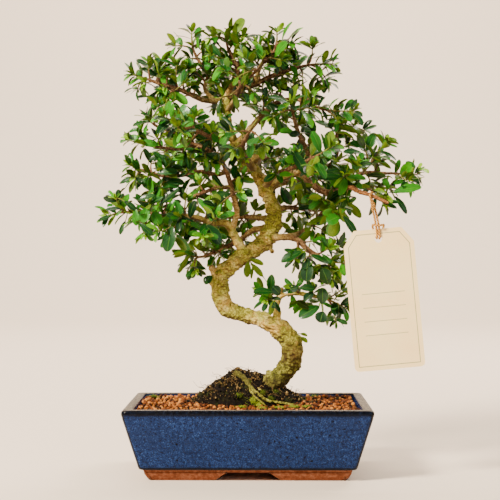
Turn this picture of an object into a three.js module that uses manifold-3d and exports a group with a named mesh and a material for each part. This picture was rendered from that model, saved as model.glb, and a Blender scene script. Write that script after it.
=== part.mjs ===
// A Fukien tea bonsai in its glazed pot, built in millimetres with +Z up.
// The tree, its soil, the pot and the swing tag that hangs from a branch are separate closed solids.
// Places are given from the middle of the pot's foot, +X to the right and +Y to the back. The finished
// model is then moved so that its origin is under the middle of the whole plant.
import * as THREE from "three";
import { mergeVertices } from "three/addons/utils/BufferGeometryUtils.js";
import Module from "manifold-3d";

const wasm = await Module();
wasm.setup();
const { Manifold } = wasm;

// Driving dimensions
const POT_LENGTH = 201.6;
const POT_DEPTH = 130;
const POT_HEIGHT = 59;
const RIM_WIDTH = 8.2;
const RIM_BAND = 5;
const RIM_OVERHANG = 0.4;
const WALL_TAPER = 12.8; // how far each wall leans in between the rim and the base
const CORNER_RADIUS = 4;
const BASE_HEIGHT = 9.5; // underside of the glazed walls
const FOOT_HEIGHT = 7.4;
const FOOT_INSET = 3.4; // the bare clay base stands back from the glazed wall
const FOOT_SLOPE = 5;
const FOOT_WIDTH = 13;
const FOOT_GAP_LONG = [28.5, 18]; // half the gap between the feet, at the table and at the top
const FOOT_GAP_SHORT = [17, 10];
const CAVITY_FLOOR = 16.5;
const CAVITY_TAPER = 12;
const DRAIN_RADIUS = 8;
const DRAIN_OFFSET = 42;
const SCREEN_SIDE = 22;
const SCREEN_THICKNESS = 0.9;
const SCREEN_OPENING = 6.5;
const FIT_GAP = 0.35; // clearance between two pieces that touch
const SEAT_GAP = 0.3;
const SEAM_TOLERANCE = 0.06; // slivers along the seams of joined limbs are smoothed out within this

const SOIL_LEVEL = 56.6;
const BALL_REACH = { left: 46, right: 54, front: 26, back: 38 }; // from its own middle, at the surface
const BALL_SETBACK = 12;
const BALL_BOTTOM = 26;
const BALL_WAIST = 47;
const BALL_SECTORS = 24;
const CRUMB_HEIGHT = 1.6;
const GRANULE_PITCH = 7.9; // granules are drawn larger than life in the solid
const GRANULE_RELIEF = 0.9;

const TRUNK_SIDES = 8;
const TRUNK_STEPS = 44;
const TWIG_RADIUS = 1.1;
const TWIG_TIP_RADIUS = 0.6;
const TWIG_SIDES = 3;
const STUB_LENGTH = 2.5;
const STUB_RADIUS = 1.35;
const CLUSTER_SPACING = 7; // distance between the leaf clusters along a shoot
const TIP_SETBACK = 1; // the last leaves sit this far behind the end of the twig
const LEADER_STEPS = 3;
const SIDE_STEPS = 2;
const BARE_FOOT = 5; // length of a shoot with no leaves at its foot
const LEAF_THICKNESS = 1;
const LEAF_HALF_WIDTH = 0.24; // as a share of the leaf's length
const LEAF_CLEARANCE = 0.4;
const CANOPY_HEART = new THREE.Vector3(-2, 0, 241);

const CARD_WIDTH = 56;
const CARD_HEIGHT = 112;
const CARD_THICKNESS = 0.8;
const CARD_CHAMFER = [9, 12]; // across and down, at the two top corners
const CARD_CORNER = 4;
const CARD_HOLE_RADIUS = 3.1;
const CARD_HOLE_DROP = 8; // hole centre below the top edge
const CARD_TILT = THREE.MathUtils.degToRad(5.3);
const CARD_HOLE = new THREE.Vector3(104.1, -60, 195.4);
const TWINE_DIAMETER = 1.5;
const TWINE_STEP = 3;
const TWINE_SIDES = 8;

// Trunk: x, y, z of its centre line and the radius there, from the root ball to the fork of the crown.
const TRUNK = [
  [10, 8, 41.7, 7.5],
  [14, 7, 59.7, 9],
  [20, 5, 73.7, 8.6],
  [28, 3, 80.7, 8.3],
  [35, 0, 91.7, 8.6],
  [37, -2, 99.7, 8.8],
  [35, -3, 109.7, 8.7],
  [28, -3, 119.2, 8.2],
  [14, -1, 126.7, 6.8],
  [3, 2, 130.2, 6.4],
  [-8, 4, 133.2, 6.6],
  [-19, 4, 137.7, 7.3],
  [-23.5, 3, 146.7, 7.5],
  [-24, 1, 155.7, 7.5],
  [-23, -2, 164.7, 7.4],
  [-19, -4, 170.2, 7.2],
  [-12, -5, 175.7, 6.8],
  [-4, -4, 181.7, 7],
  [5, -1, 187.7, 7.1],
  [13, 2, 193.2, 7.3],
  [18, 3, 201.7, 7],
  [21, 3, 210.7, 6.6],
  [21.5, 2, 218.7, 6.3],
  [19, 0, 227.7, 6],
  [15, -1, 235.7, 5.7],
  [11, 0, 243.7, 5.5],
  [5, 2, 254.2, 5],
  [-5, 4, 266.2, 4.6],
  [-12, 4, 278.2, 4.1],
  [-16.5, 2, 291.7, 3.6],
  [-17.5, 0, 305.2, 3.1],
  [-19, 0, 316.2, 2.8],
];

// Surface roots that run over the mound, and roots inside the root ball.
const ROOTS = {
  crest: [[14, 9, 63, 6], [6, 11, 72, 4.8], [-5, 9, 79, 4], [-10.5, 5, 82.4, 3.7],
    [-6.3, 1.5, 80.4, 3.5], [-2, -2.5, 76.6, 3.2], [1.4, -7, 72, 2.8], [5.6, -10, 68.4, 2.3],
    [10.6, -13, 64.2, 2], [16.5, -15, 61.1, 1.8], [28.2, -14.5, 58.8, 1.5], [41, -18, 55.9, 1.1]],
  fork: [[0, -5, 73.8, 2], [2.3, -10.5, 68.6, 1.6], [5.6, -14, 63.8, 1.5], [9.8, -17, 61, 1.3],
    [14, -20, 58, 1]],
  shoulder: [[10, 4, 70, 4], [3.5, -3, 73, 3], [7.5, -6, 70.6, 2.6], [13, -10, 65.5, 1.5]],
  back: [[14, 12, 61.7, 6], [6, 26, 63.7, 4], [-4, 36, 56.7, 2.6]],
  deep_left: [[10, 9, 47.7, 6], [-12, 14, 37.7, 3.6], [-30, 16, 29.7, 2]],
  deep_right: [[12, 8, 47.7, 6], [28, 2, 37.7, 3.6], [40, -2, 29.7, 2]],
};

// Branches: x, y, z and radius. A branch starts inside the limb that carries it.
const BRANCHES = {
  left_low: [[-2, -3, 183.2, 4.4], [-8, -6, 191.7, 3.8], [-13, -10, 201.7, 3.4], [-18.5, -14, 208.7, 3],
    [-30, -18, 209.2, 2.6], [-40, -20, 212.7, 2.4], [-51, -22, 214.7, 2.3], [-67, -24, 213.2, 2],
    [-81, -22, 217.2, 1.7], [-96, -20, 218.2, 1.4]],
  left_back: [[17, 5, 205.7, 3], [4, 12, 203.7, 2.5], [-8, 20, 195.2, 2.2], [-23, 25, 187.7, 1.9],
    [-38, 25, 181.7, 1.5]],
  right_low: [[19, 1, 196.7, 3.2], [31, -6, 197.7, 2.7], [41, -10, 195.2, 2.4], [50, -14, 186.7, 2.1],
    [60, -16, 180.7, 1.7]],
  right_mid: [[31, -6, 197.7, 2.3], [45, 4, 201.7, 2], [57, 8, 211.7, 1.8], [65, 10, 221.7, 1.5]],
  right_main: [[14, -1, 239.7, 4], [30, 2, 248.7, 3.3], [43, 0, 251.2, 3], [53, -6, 242.2, 2.8],
    [64, -10, 235.2, 2.5], [78, -12, 236.2, 2.2], [90, -14, 238.7, 1.7]],
  right_far: [[78, -12, 236.2, 2], [95, -8, 250.7, 1.7], [115, -8, 251, 1.3]],
  hook: [[78, -12, 236.2, 2], [84, -36, 237.7, 1.8], [89.5, -55, 233.2, 1.7], [98, -60.5, 230.2, 1.5],
    [111, -62.5, 224.2, 1.3]],
  right_up: [[42, 0, 251.2, 2.6], [50, -14, 264.2, 2.2], [46, -20, 274.7, 2], [41, -25, 284.7, 1.8],
    [38, -28, 295.2, 1.5]],
  right_side: [[43, 0, 251.2, 2.2], [62, 4, 252.7, 2], [75, 8, 267.7, 1.7], [75, 8, 285.7, 1.4]],
  mid_right: [[-12, 4, 275.7, 3.4], [-4, 5, 283.7, 2.7], [4, 8, 293.2, 2.4], [12, 10, 302.7, 2.2],
    [27, 8, 313.7, 1.9], [42, 4, 314.2, 1.6], [58.5, -4, 306.7, 1.3]],
  top_right: [[-19, 0, 314.7, 2.7], [-5, 2, 323.2, 2.4], [6, 4, 327.7, 2.2], [17, 6, 333.5, 2],
    [29, 8, 338.2, 1.7], [44, 8, 342.8, 1.4]],
  top_right_up: [[6, 4, 327.7, 1.9], [8, -1, 336.3, 1.7], [12, -5, 344.6, 1.5], [20, -6, 349.5, 1.4],
    [22.5, -6, 356.2, 1.2]],
  top_up: [[-19, 0, 314.7, 2.6], [-14.5, -4, 324.2, 2.3], [-9, -8, 331.6, 2.1], [-9.5, -10, 340, 1.9],
    [-14, -10, 349.1, 1.6], [-17, -8, 356.2, 1.3]],
  top_left: [[-19, 0, 314.7, 2.6], [-29, -4, 312.2, 2.3], [-40.5, -8, 313.7, 2.1], [-50.5, -10, 318.2, 2],
    [-61, -12, 322.2, 1.8], [-73.8, -12, 325.7, 1.5], [-81.7, -12, 328.7, 1.3]],
  top_left_up: [[-29, -4, 312.2, 2], [-37, 2, 323.7, 1.7], [-34.5, 4, 336.3, 1.5], [-41, 4, 345.5, 1.3],
    [-45, 4, 352.6, 1.2]],
  left_up: [[-13, 4, 281.7, 3], [-31, 6, 281.7, 2], [-46, 10, 275.7, 1.7], [-60, 12, 273.2, 1.5],
    [-76, 12, 274.7, 1.3]],
  left_up_high: [[-31, 6, 281.7, 1.8], [-48, 0, 282.7, 1.5], [-64, -4, 286.2, 1.4], [-76, -4, 290.7, 1.2]],
  left_mid: [[-14, -11, 203.7, 2.6], [-9.5, -16, 218.2, 2.3], [-12.5, -20, 232.2, 2.1],
    [-16, -22, 246.2, 2], [-21.5, -24, 259.2, 1.9], [-33, -24, 269.2, 1.6], [-45.5, -24, 274.7, 1.3]],
  left_mid_low: [[4, 2, 255.7, 3], [-14, 4, 253.7, 2], [-28, 0, 250.7, 1.9], [-41, -8, 252.7, 1.7],
    [-54, -8, 249.7, 1.5], [-70, -8, 248.7, 1.4], [-83, -8, 252.2, 1.2]],
  left_down: [[-14, -21, 238.7, 1.9], [-26, -26, 237.7, 1.6], [-44, -28, 231.2, 1.3]],
  low_right: [[24, -3, 121.7, 4.6], [24, -4, 133.7, 3.2], [24, -6, 141.7, 2.7], [27, -7, 147.7, 2.4],
    [35, -9, 150.7, 2], [46, -11, 149.7, 1.8], [58, -13, 147.7, 1.5]],
  front_mid: [[5, 2, 254.2, 3.2], [-2, -30, 263.7, 2.2], [-4, -55, 269.7, 1.8], [0, -72, 276.7, 1.4]],
  front_right: [[13, -1, 239.7, 3.2], [22, -24, 247.7, 2.1], [38, -48, 253.7, 1.7], [52, -62, 259.7, 1.4]],
  front_left: [[-5, 4, 266.2, 3], [-20, -22, 273.7, 2], [-38, -45, 281.7, 1.6], [-52, -58, 285.7, 1.3]],
  front_top: [[-17.5, 0, 305.2, 2.4], [-10, -18, 313.7, 1.9], [-4, -38, 323.7, 1.6], [6, -52, 329.7, 1.3]],
  back_mid: [[5, 2, 254.2, 3.2], [8, 30, 263.7, 2.2], [14, 56, 269.7, 1.7], [10, 76, 275.7, 1.3]],
  back_left: [[-5, 4, 266.2, 3], [-25, 28, 269.7, 2], [-45, 50, 273.7, 1.6], [-62, 62, 271.7, 1.3]],
  back_right: [[14, -1, 237.7, 3.2], [34, 28, 245.7, 2], [56, 48, 249.7, 1.6], [74, 58, 251.7, 1.3]],
  back_top: [[-17, 1, 299.7, 2.6], [-18, 22, 315.7, 1.9], [-24, 42, 325.7, 1.5], [-20, 56, 331.6, 1.3]],
  back_low_left: [[21, 3, 212.7, 3], [-2, 34, 215.7, 2], [-25, 52, 215.7, 1.6], [-42, 58, 213.7, 1.3]],
  back_low_right: [[21, 2, 220.7, 3], [36, 30, 223.7, 2], [54, 46, 221.7, 1.5]],
};

// Pruning stubs on the trunk and branches.
const KNOBS = {
  trunk_left: [[-24, -2, 165.7, 4], [-28.5, -3, 169.7, 3], [-31, -4, 173.2, 2.4]],
  trunk_under: [[14, 2, 191.7, 3.2], [19, 0.5, 186.2, 2.4], [20.5, 0, 184.2, 1.8]],
  low_branch: [[26, -7, 146.7, 2.4], [27.5, -7, 151.2, 2], [28, -7, 153.7, 1.8]],
  crown: [[0, 3, 258.7, 4], [8, -4, 265.7, 3], [12, -8, 268.7, 2.4]],
};

// Leafy sprays: the branch that carries each, the place on it, and the tips of its shoots, leader first.
const SPRAYS = [
  ["left_low", 9, [[-118, -16, 215], [-109, -26, 229], [-106, -8, 225]]],
  ["left_low", 8, [[-84, -38, 199.7], [-80, -40, 225.7]]],
  ["left_low", 6, [[-60, -42, 195.7], [-54, -48, 213.7], [-72, -46, 201.7]]],
  ["left_low", 7, [[-74, 2, 221.7], [-64, -6, 237.7]]],
  ["left_low", 4, [[-36, -44, 197.7], [-24, -48, 213.7]]],
  ["left_back", 4, [[-57, 28, 185.7], [-50, 38, 174.7], [-46, 18, 169.7]]],
  ["left_back", 2, [[-24, 46, 201.7], [-32, 40, 179.7]]],
  ["right_low", 4, [[80, -22, 175.7], [68, -30, 163.7], [76, -6, 191.7]]],
  ["right_low", 2, [[38, -34, 178.7], [52, -32, 169.7]]],
  ["right_mid", 3, [[83, 18, 225.7], [72, -4, 233.7], [72, 34, 213.7]]],
  ["right_main", 6, [[119, -16, 237.7], [112, -28, 223.7]]],
  ["right_main", 5, [[90, -32, 257.7], [78, -40, 247.7]]],
  ["right_main", 4, [[72, -34, 215.7], [58, -36, 227.7]]],
  ["right_far", 2, [[142, -8, 250], [132, -22, 243]]],
  ["right_far", 1, [[114, -14, 276.7], [95, -2, 276.7], [104, 14, 265.7]]],
  ["right_up", 4, [[34, -48, 306.7], [52, -42, 301.7], [20, -46, 293.7]]],
  ["right_up", 1, [[64, -36, 265.7], [44, -44, 257.7]]],
  ["right_side", 3, [[88, 12, 298.7], [74, 26, 303.7], [100, 22, 289.7]]],
  ["mid_right", 6, [[89, -8, 303.7], [74, -22, 293.7]]],
  ["mid_right", 5, [[60, 20, 325.7], [52, 30, 305.7]]],
  ["mid_right", 3, [[30, 40, 297.7], [14, 40, 305.7]]],
  ["top_right", 5, [[72, 6, 344.6], [54, 0, 359], [68, 20, 331.6]]],
  ["top_right_up", 4, [[24, -6, 370.2], [38, -14, 359]]],
  ["top_right_up", 2, [[10, -28, 351.7], [28, -28, 342.8]]],
  ["top_up", 5, [[-14, -4, 374.5], [-2, -14, 364.5], [-32, -18, 362.6]]],
  ["top_up", 3, [[-30, -32, 346.4], [-8, -34, 342.8]]],
  ["top_left_up", 4, [[-48, 2, 372.2], [-64, -2, 359], [-34, 20, 360.8]]],
  ["top_left", 6, [[-97, -14, 333.5], [-94.1, 0, 322.7]]],
  ["top_left", 4, [[-68, -28, 305.7], [-52, -32, 323.7]]],
  ["top_left", 5, [[-73.8, 10, 346.4], [-62, 24, 333.5]]],
  ["left_up", 4, [[-102, 10, 280.7], [-94, 24, 291.7]]],
  ["left_up", 2, [[-58, 36, 293.7], [-62, 22, 259.7]]],
  ["left_up_high", 3, [[-86.1, -6, 298.7], [-73.8, -20, 305.7]]],
  ["left_mid", 6, [[-64, -34, 277.7], [-56, -32, 295.7]]],
  ["left_mid", 5, [[-34, -46, 260.7], [-20, -42, 255.7]]],
  ["left_mid", 2, [[-6, -46, 233.7], [-28, -44, 219.7]]],
  ["left_mid_low", 6, [[-99, -8, 257.7], [-94, -22, 245.7], [-96, 8, 245.7]]],
  ["left_mid_low", 5, [[-72, -24, 237.7], [-62, -28, 263.7], [-78, 12, 233.7]]],
  ["low_right", 6, [[82, -16, 137.7], [78, -8, 153.7], [72, -24, 128.7]]],
  ["low_right", 3, [[10, -10, 152.7], [16, -20, 144.7]]],
  ["front_mid", 3, [[8, -88, 287.7], [-16, -84, 277.7], [14, -84, 267.7]]],
  ["front_right", 3, [[66, -74, 267.7], [50, -82, 251.7]]],
  ["front_left", 3, [[-66, -70, 291.7], [-50, -78, 277.7]]],
  ["front_top", 3, [[12, -70, 337.3], [-8, -66, 323.7]]],
  ["back_mid", 3, [[14, 94, 283.7], [-8, 88, 269.7], [22, 84, 263.7]]],
  ["back_left", 3, [[-80, 70, 277.7], [-60, 80, 263.7]]],
  ["back_right", 3, [[92, 66, 257.7], [76, 78, 243.7]]],
  ["back_top", 3, [[-22, 74, 339.1], [2, 68, 335.4]]],
  ["back_low_left", 3, [[-60, 68, 217.7], [-40, 76, 207.7]]],
  ["back_low_right", 2, [[72, 56, 223.7], [52, 68, 213.7]]],
];

// A number from 0 to 1 that depends only on its two seeds.
function draw(a, b) {
  const wave = Math.sin(a * 12.9898 + b * 78.233 + 4.1) * 43758.5453;
  return wave - Math.floor(wave);
}

function vector(point) {
  return new THREE.Vector3(point[0], point[1], point[2]);
}

function between(low, high, share) {
  return low + (high - low) * share;
}

// Turns a closed three.js geometry into a solid.
function solid(geometry) {
  const bare = new THREE.BufferGeometry().setAttribute("position", geometry.getAttribute("position").clone());
  if (geometry.index) bare.setIndex(geometry.index);
  const merged = mergeVertices(bare, 1e-4);
  const vertProperties = new Float32Array(merged.attributes.position.array);
  const triVerts = new Uint32Array(merged.index.array);
  return new Manifold(new wasm.Mesh({ numProp: 3, vertProperties, triVerts }));
}

// Turns a solid back into a three.js geometry.
function geometryOf(shape) {
  const mesh = shape.getMesh();
  const geometry = new THREE.BufferGeometry();
  geometry.setAttribute("position", new THREE.BufferAttribute(new Float32Array(mesh.vertProperties), 3));
  geometry.setIndex(new THREE.BufferAttribute(new Uint32Array(mesh.triVerts), 1));
  return geometry;
}

// Skins a stack of rings that turn anticlockwise about the way they are stacked, with a flat cap at each end.
function loft(rings) {
  const count = rings[0].length;
  const faces = [];
  for (let ring = 0; ring < rings.length - 1; ring++) {
    for (let side = 0; side < count; side++) {
      const a = ring * count + side;
      const b = ring * count + ((side + 1) % count);
      faces.push(a, b, b + count, a, b + count, a + count);
    }
  }
  const last = (rings.length - 1) * count;
  for (let side = 1; side < count - 1; side++) {
    faces.push(0, side + 1, side, last, last + side, last + side + 1);
  }
  const geometry = new THREE.BufferGeometry().setFromPoints(rings.flat());
  geometry.setIndex(faces);
  return solid(geometry);
}

// A rounded limb along a smooth curve through the given points, each with its radius.
function limb(points, sides, steps, options = {}) {
  const { grow = 0, relief = () => 0 } = options;
  const curve = new THREE.CatmullRomCurve3(points.map(vector), false, "centripetal");
  const last = points.length - 1;
  const rings = [];
  let normal = null;
  for (let step = 0; step <= steps; step++) {
    const share = step / steps;
    const centre = curve.getPoint(share);
    const tangent = curve.getTangent(share);
    if (step === steps) tangent.copy(vector(points[last])).sub(vector(points[last - 1])).normalize();
    if (!normal) normal = new THREE.Vector3(0.1, 1, 0.05);
    normal.addScaledVector(tangent, -normal.dot(tangent)).normalize();
    const across = tangent.clone().cross(normal);
    const place = Math.min(share * last, last - 1e-9);
    const index = Math.floor(place);
    const radius = between(points[index][3], points[index + 1][3], place - index);
    const ring = [];
    for (let side = 0; side < sides; side++) {
      const angle = (2 * Math.PI * side) / sides;
      const reach = radius * (1 + relief(angle, share)) + grow;
      ring.push(centre.clone().addScaledVector(normal, reach * Math.cos(angle))
        .addScaledVector(across, reach * Math.sin(angle)));
    }
    rings.push(ring);
  }
  return loft(rings);
}

// An anticlockwise rounded rectangle at height z, from half its length, half its depth and its corner radius.
function roundedRing(z, halfX, halfY, radius) {
  const corners = [[1, 1], [-1, 1], [-1, -1], [1, -1]];
  const arcSteps = 2;
  return corners.flatMap(([sx, sy], quarter) => Array.from({ length: arcSteps + 1 }, (_, step) => {
    const angle = (Math.PI / 2) * (quarter + step / arcSteps);
    return new THREE.Vector3(sx * (halfX - radius) + radius * Math.cos(angle),
      sy * (halfY - radius) + radius * Math.sin(angle), z);
  }));
}

// A straight bar along X or Y whose section is a trapezoid standing on the table.
function trapezoidBar(halfFoot, halfTop, low, high, halfLength, alongX) {
  const section = [[-halfFoot, low], [halfFoot, low], [halfTop, high], [-halfTop, high]];
  const ends = [halfLength, -halfLength].map((end) => section.map(([across, z]) => (alongX
    ? new THREE.Vector3(-end, across, z) : new THREE.Vector3(across, end, z))));
  return loft(ends);
}

// Pot: leaning glazed walls with a flat rim, a bare clay base cut into four feet, and two drain holes.
function cavityRings(inset) {
  const halfX = POT_LENGTH / 2 - RIM_WIDTH - inset;
  const halfY = POT_DEPTH / 2 - RIM_WIDTH - inset;
  return [
    roundedRing(CAVITY_FLOOR + inset, halfX - CAVITY_TAPER, halfY - CAVITY_TAPER, CORNER_RADIUS),
    roundedRing(POT_HEIGHT - 4, halfX - 0.4, halfY - 0.4, CORNER_RADIUS),
    roundedRing(POT_HEIGHT + 1, halfX, halfY, CORNER_RADIUS),
  ];
}

function makePot() {
  const halfX = POT_LENGTH / 2;
  const halfY = POT_DEPTH / 2;
  const bottomX = halfX - WALL_TAPER;
  const bottomY = halfY - WALL_TAPER;
  const walls = loft([
    roundedRing(BASE_HEIGHT, bottomX, bottomY, CORNER_RADIUS),
    roundedRing(POT_HEIGHT - RIM_BAND - 1, halfX - RIM_OVERHANG, halfY - RIM_OVERHANG, CORNER_RADIUS),
    roundedRing(POT_HEIGHT - RIM_BAND, halfX, halfY, CORNER_RADIUS),
    roundedRing(POT_HEIGHT - 1.2, halfX, halfY, CORNER_RADIUS),
    roundedRing(POT_HEIGHT, halfX - 1.2, halfY - 1.2, CORNER_RADIUS),
  ]);
  const footX = bottomX - FOOT_INSET;
  const footY = bottomY - FOOT_INSET;
  const foot = loft([
    roundedRing(0, footX - FOOT_SLOPE, footY - FOOT_SLOPE, CORNER_RADIUS),
    roundedRing(FOOT_HEIGHT, footX, footY, CORNER_RADIUS),
    roundedRing(BASE_HEIGHT + 1, footX, footY, CORNER_RADIUS),
  ]);
  const hollow = loft([
    roundedRing(-1, footX - FOOT_WIDTH - FOOT_SLOPE, footY - FOOT_WIDTH - FOOT_SLOPE, CORNER_RADIUS),
    roundedRing(FOOT_HEIGHT, footX - FOOT_WIDTH, footY - FOOT_WIDTH, CORNER_RADIUS),
  ]);
  const [longFoot, longTop] = FOOT_GAP_LONG;
  const [shortFoot, shortTop] = FOOT_GAP_SHORT;
  let pot = walls.add(foot).subtract(loft(cavityRings(0))).subtract(hollow);
  pot = pot.subtract(trapezoidBar(longFoot, longTop, -0.01, FOOT_HEIGHT, halfY, false));
  pot = pot.subtract(trapezoidBar(shortFoot, shortTop, -0.01, FOOT_HEIGHT, halfX, true));
  for (const side of [-1, 1]) {
    const drain = new THREE.CylinderGeometry(DRAIN_RADIUS, DRAIN_RADIUS, 2 * CAVITY_FLOOR, 12);
    drain.rotateX(Math.PI / 2).translate(side * DRAIN_OFFSET, 0, CAVITY_FLOOR / 2 + 4);
    pot = pot.subtract(solid(drain));
  }
  return pot;
}

// Plastic screen laid over a drain hole, with four openings.
function makeScreen(side, grow) {
  const width = SCREEN_SIDE + 2 * grow;
  const thickness = SCREEN_THICKNESS + grow;
  const middle = CAVITY_FLOOR + SEAT_GAP + thickness / 2;
  const sheet = new THREE.BoxGeometry(width, width, thickness);
  let screen = solid(sheet.translate(side * DRAIN_OFFSET, 0, middle));
  const reach = SCREEN_OPENING / 2 + 1.2;
  for (const [x, y] of [[-reach, -reach], [reach, -reach], [reach, reach], [-reach, reach]]) {
    const opening = new THREE.BoxGeometry(SCREEN_OPENING, SCREEN_OPENING, 4 * thickness);
    if (!grow) screen = screen.subtract(solid(opening.translate(side * DRAIN_OFFSET + x, y, middle)));
  }
  return screen;
}

// Height of the dark mound over the pot: a steep-sided ridge under the root crest, lower round the trunk.
function moundHeight(x, y) {
  const away = y - BALL_SETBACK + 2;
  const crest = Math.hypot((x + 10) / (x > -10 ? 62 : 38), away / (away < 0 ? 33 : 40));
  return SOIL_LEVEL - 1.5 + 30.5 * Math.max(0, 1 - crest) ** 0.8;
}

function makeRootBall(grow) {
  const ring = (share, height) => Array.from({ length: BALL_SECTORS }, (_, sector) => {
    const angle = (2 * Math.PI * sector) / BALL_SECTORS;
    const x = share * Math.cos(angle) * (Math.cos(angle) < 0 ? BALL_REACH.left : BALL_REACH.right);
    const reachY = Math.sin(angle) < 0 ? BALL_REACH.front : BALL_REACH.back;
    const y = BALL_SETBACK + share * Math.sin(angle) * reachY;
    return new THREE.Vector3(x + grow * Math.cos(angle), y + grow * Math.sin(angle), height(x, y, sector));
  });
  const shares = [1, 0.8, 0.6, 0.4, 0.19];
  const surface = shares.map((share, order) => ring(share, (x, y, sector) => (
    moundHeight(x, y) + grow + CRUMB_HEIGHT * (draw(sector, order) - 0.5))));
  return loft([ring(0.72, () => BALL_BOTTOM - grow), ring(0.98, () => BALL_WAIST), ...surface]);
}

// Clay granules that fill the pot round the root ball, with a surface of pyramids on a jittered grid.
function makeGranules() {
  const [floorRing, shoulderRing] = cavityRings(FIT_GAP);
  const halfX = POT_LENGTH / 2 - RIM_WIDTH;
  const halfY = POT_DEPTH / 2 - RIM_WIDTH;
  const columns = Math.round((2 * halfX + 8) / GRANULE_PITCH);
  const rows = Math.round((2 * halfY + 8) / GRANULE_PITCH);
  const lid = new THREE.PlaneGeometry(2 * halfX + 8, 2 * halfY + 8, columns, rows);
  const place = lid.getAttribute("position");
  for (let i = 0; i < place.count; i++) {
    const column = i % (columns + 1);
    const row = Math.floor(i / (columns + 1));
    const rise = (column + row) % 2 ? GRANULE_RELIEF : -GRANULE_RELIEF;
    const wander = draw(column, row) - 0.5;
    place.setXYZ(i, place.getX(i) + wander * 1.6, place.getY(i) + (draw(row, column + 50) - 0.5) * 1.6,
      SOIL_LEVEL + rise + wander * 1.2);
  }
  const top = loft([floorRing, shoulderRing, roundedRing(POT_HEIGHT + 4, halfX - FIT_GAP - 0.4,
    halfY - FIT_GAP - 0.4, CORNER_RADIUS)]);
  const blanket = lidSolid(lid, columns, rows);
  return top.subtract(blanket);
}

// The space above a height field, as a closed solid with a flat top.
function lidSolid(lid, columns, rows) {
  const place = lid.getAttribute("position");
  const points = [];
  for (let i = 0; i < place.count; i++) points.push(new THREE.Vector3().fromBufferAttribute(place, i));
  const faces = [];
  for (let i = 0; i < lid.index.count; i += 3) {
    faces.push(lid.index.getX(i), lid.index.getX(i + 2), lid.index.getX(i + 1));
  }
  const border = [];
  const at = (column, row) => row * (columns + 1) + column;
  for (let column = 0; column < columns; column++) border.push(at(column, 0));
  for (let row = 0; row < rows; row++) border.push(at(columns, row));
  for (let column = columns; column > 0; column--) border.push(at(column, rows));
  for (let row = rows; row > 0; row--) border.push(at(0, row));
  const first = points.length;
  for (const index of border) points.push(points[index].clone().setZ(POT_HEIGHT + 8));
  const centre = points.length;
  points.push(new THREE.Vector3(0, 0, POT_HEIGHT + 8));
  border.forEach((index, i) => {
    const next = (i + 1) % border.length;
    faces.push(index, first + i, first + next, index, first + next, border[next]);
    faces.push(centre, first + next, first + i);
  });
  const geometry = new THREE.BufferGeometry().setFromPoints(points);
  geometry.setIndex(faces);
  return solid(geometry);
}

// Bark of the trunk: low ridges that wander round it.
function barkRelief(angle, share) {
  return 0.05 * Math.sin(3 * angle + 40 * share) + 0.035 * Math.sin(2 * angle - 90 * share);
}

function branchLimb(name) {
  const points = BRANCHES[name];
  return limb(points, 5, points.length - 1);
}

// The place and heading of the cut face that a spray grows from.
function sprayFoot([name, index, tips]) {
  const points = BRANCHES[name];
  const here = vector(points[index]);
  const before = vector(points[index - 1]);
  if (index === points.length - 1) return { foot: here, heading: here.clone().sub(before).normalize() };
  const along = vector(points[index + 1]).sub(before).normalize();
  const heading = vector(tips[0]).sub(here).normalize().addScaledVector(along, 0.3).normalize();
  return { foot: here.clone().addScaledVector(heading, points[index][3] + STUB_LENGTH), heading, from: here };
}

function makeTree() {
  const parts = [limb(TRUNK, TRUNK_SIDES, TRUNK_STEPS, { relief: barkRelief })];
  for (const root of Object.values(ROOTS)) parts.push(limb(root, 5, root.length - 1));
  for (const name of Object.keys(BRANCHES)) parts.push(branchLimb(name));
  for (const knob of Object.values(KNOBS)) parts.push(limb(knob, 5, 2));
  for (const spray of SPRAYS) {
    const { foot, from } = sprayFoot(spray);
    if (from) {
      parts.push(limb([[...from.toArray(), STUB_RADIUS * 1.15], [...foot.toArray(), STUB_RADIUS]], 4, 1));
    }
  }
  return Manifold.union(parts);
}

// What the trunk and roots take out of the soil, with a little clearance.
function rootSpace() {
  const parts = [limb(TRUNK, TRUNK_SIDES, TRUNK_STEPS, { relief: barkRelief, grow: FIT_GAP })];
  for (const root of Object.values(ROOTS)) parts.push(limb(root, 5, root.length - 1, { grow: FIT_GAP }));
  return Manifold.union(parts);
}

// The shoots of a spray: a leader from the foot and side shoots that fork from it.
function shootsOf(spray) {
  const { foot, heading } = sprayFoot(spray);
  const start = foot.clone().addScaledVector(heading, SEAT_GAP);
  const shoots = [];
  spray[2].forEach((tipPoint, order) => {
    const tip = vector(tipPoint);
    let from = start;
    let way = heading;
    if (order > 0) {
      const fork = 0.22 + 0.2 * (order - 1);
      from = along(shoots[0], fork);
      const ahead = shoots[0].curve.getTangent(fork);
      way = ahead.add(tip.clone().sub(from).normalize()).normalize();
    }
    const length = from.distanceTo(tip);
    const bend = from.clone().addScaledVector(way, 0.4 * length);
    const curve = new THREE.QuadraticBezierCurve3(from, bend, tip);
    const steps = order === 0 ? LEADER_STEPS : SIDE_STEPS;
    const stations = Array.from({ length: steps + 1 }, (_, step) => curve.getPoint(step / steps));
    shoots.push({ curve, length, stations });
  });
  return shoots;
}

// A point on the straight stretches of a shoot's twig.
function along(shoot, share) {
  const steps = shoot.stations.length - 1;
  const index = Math.min(Math.floor(share * steps), steps - 1);
  return shoot.stations[index].clone().lerp(shoot.stations[index + 1], share * steps - index);
}

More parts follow.
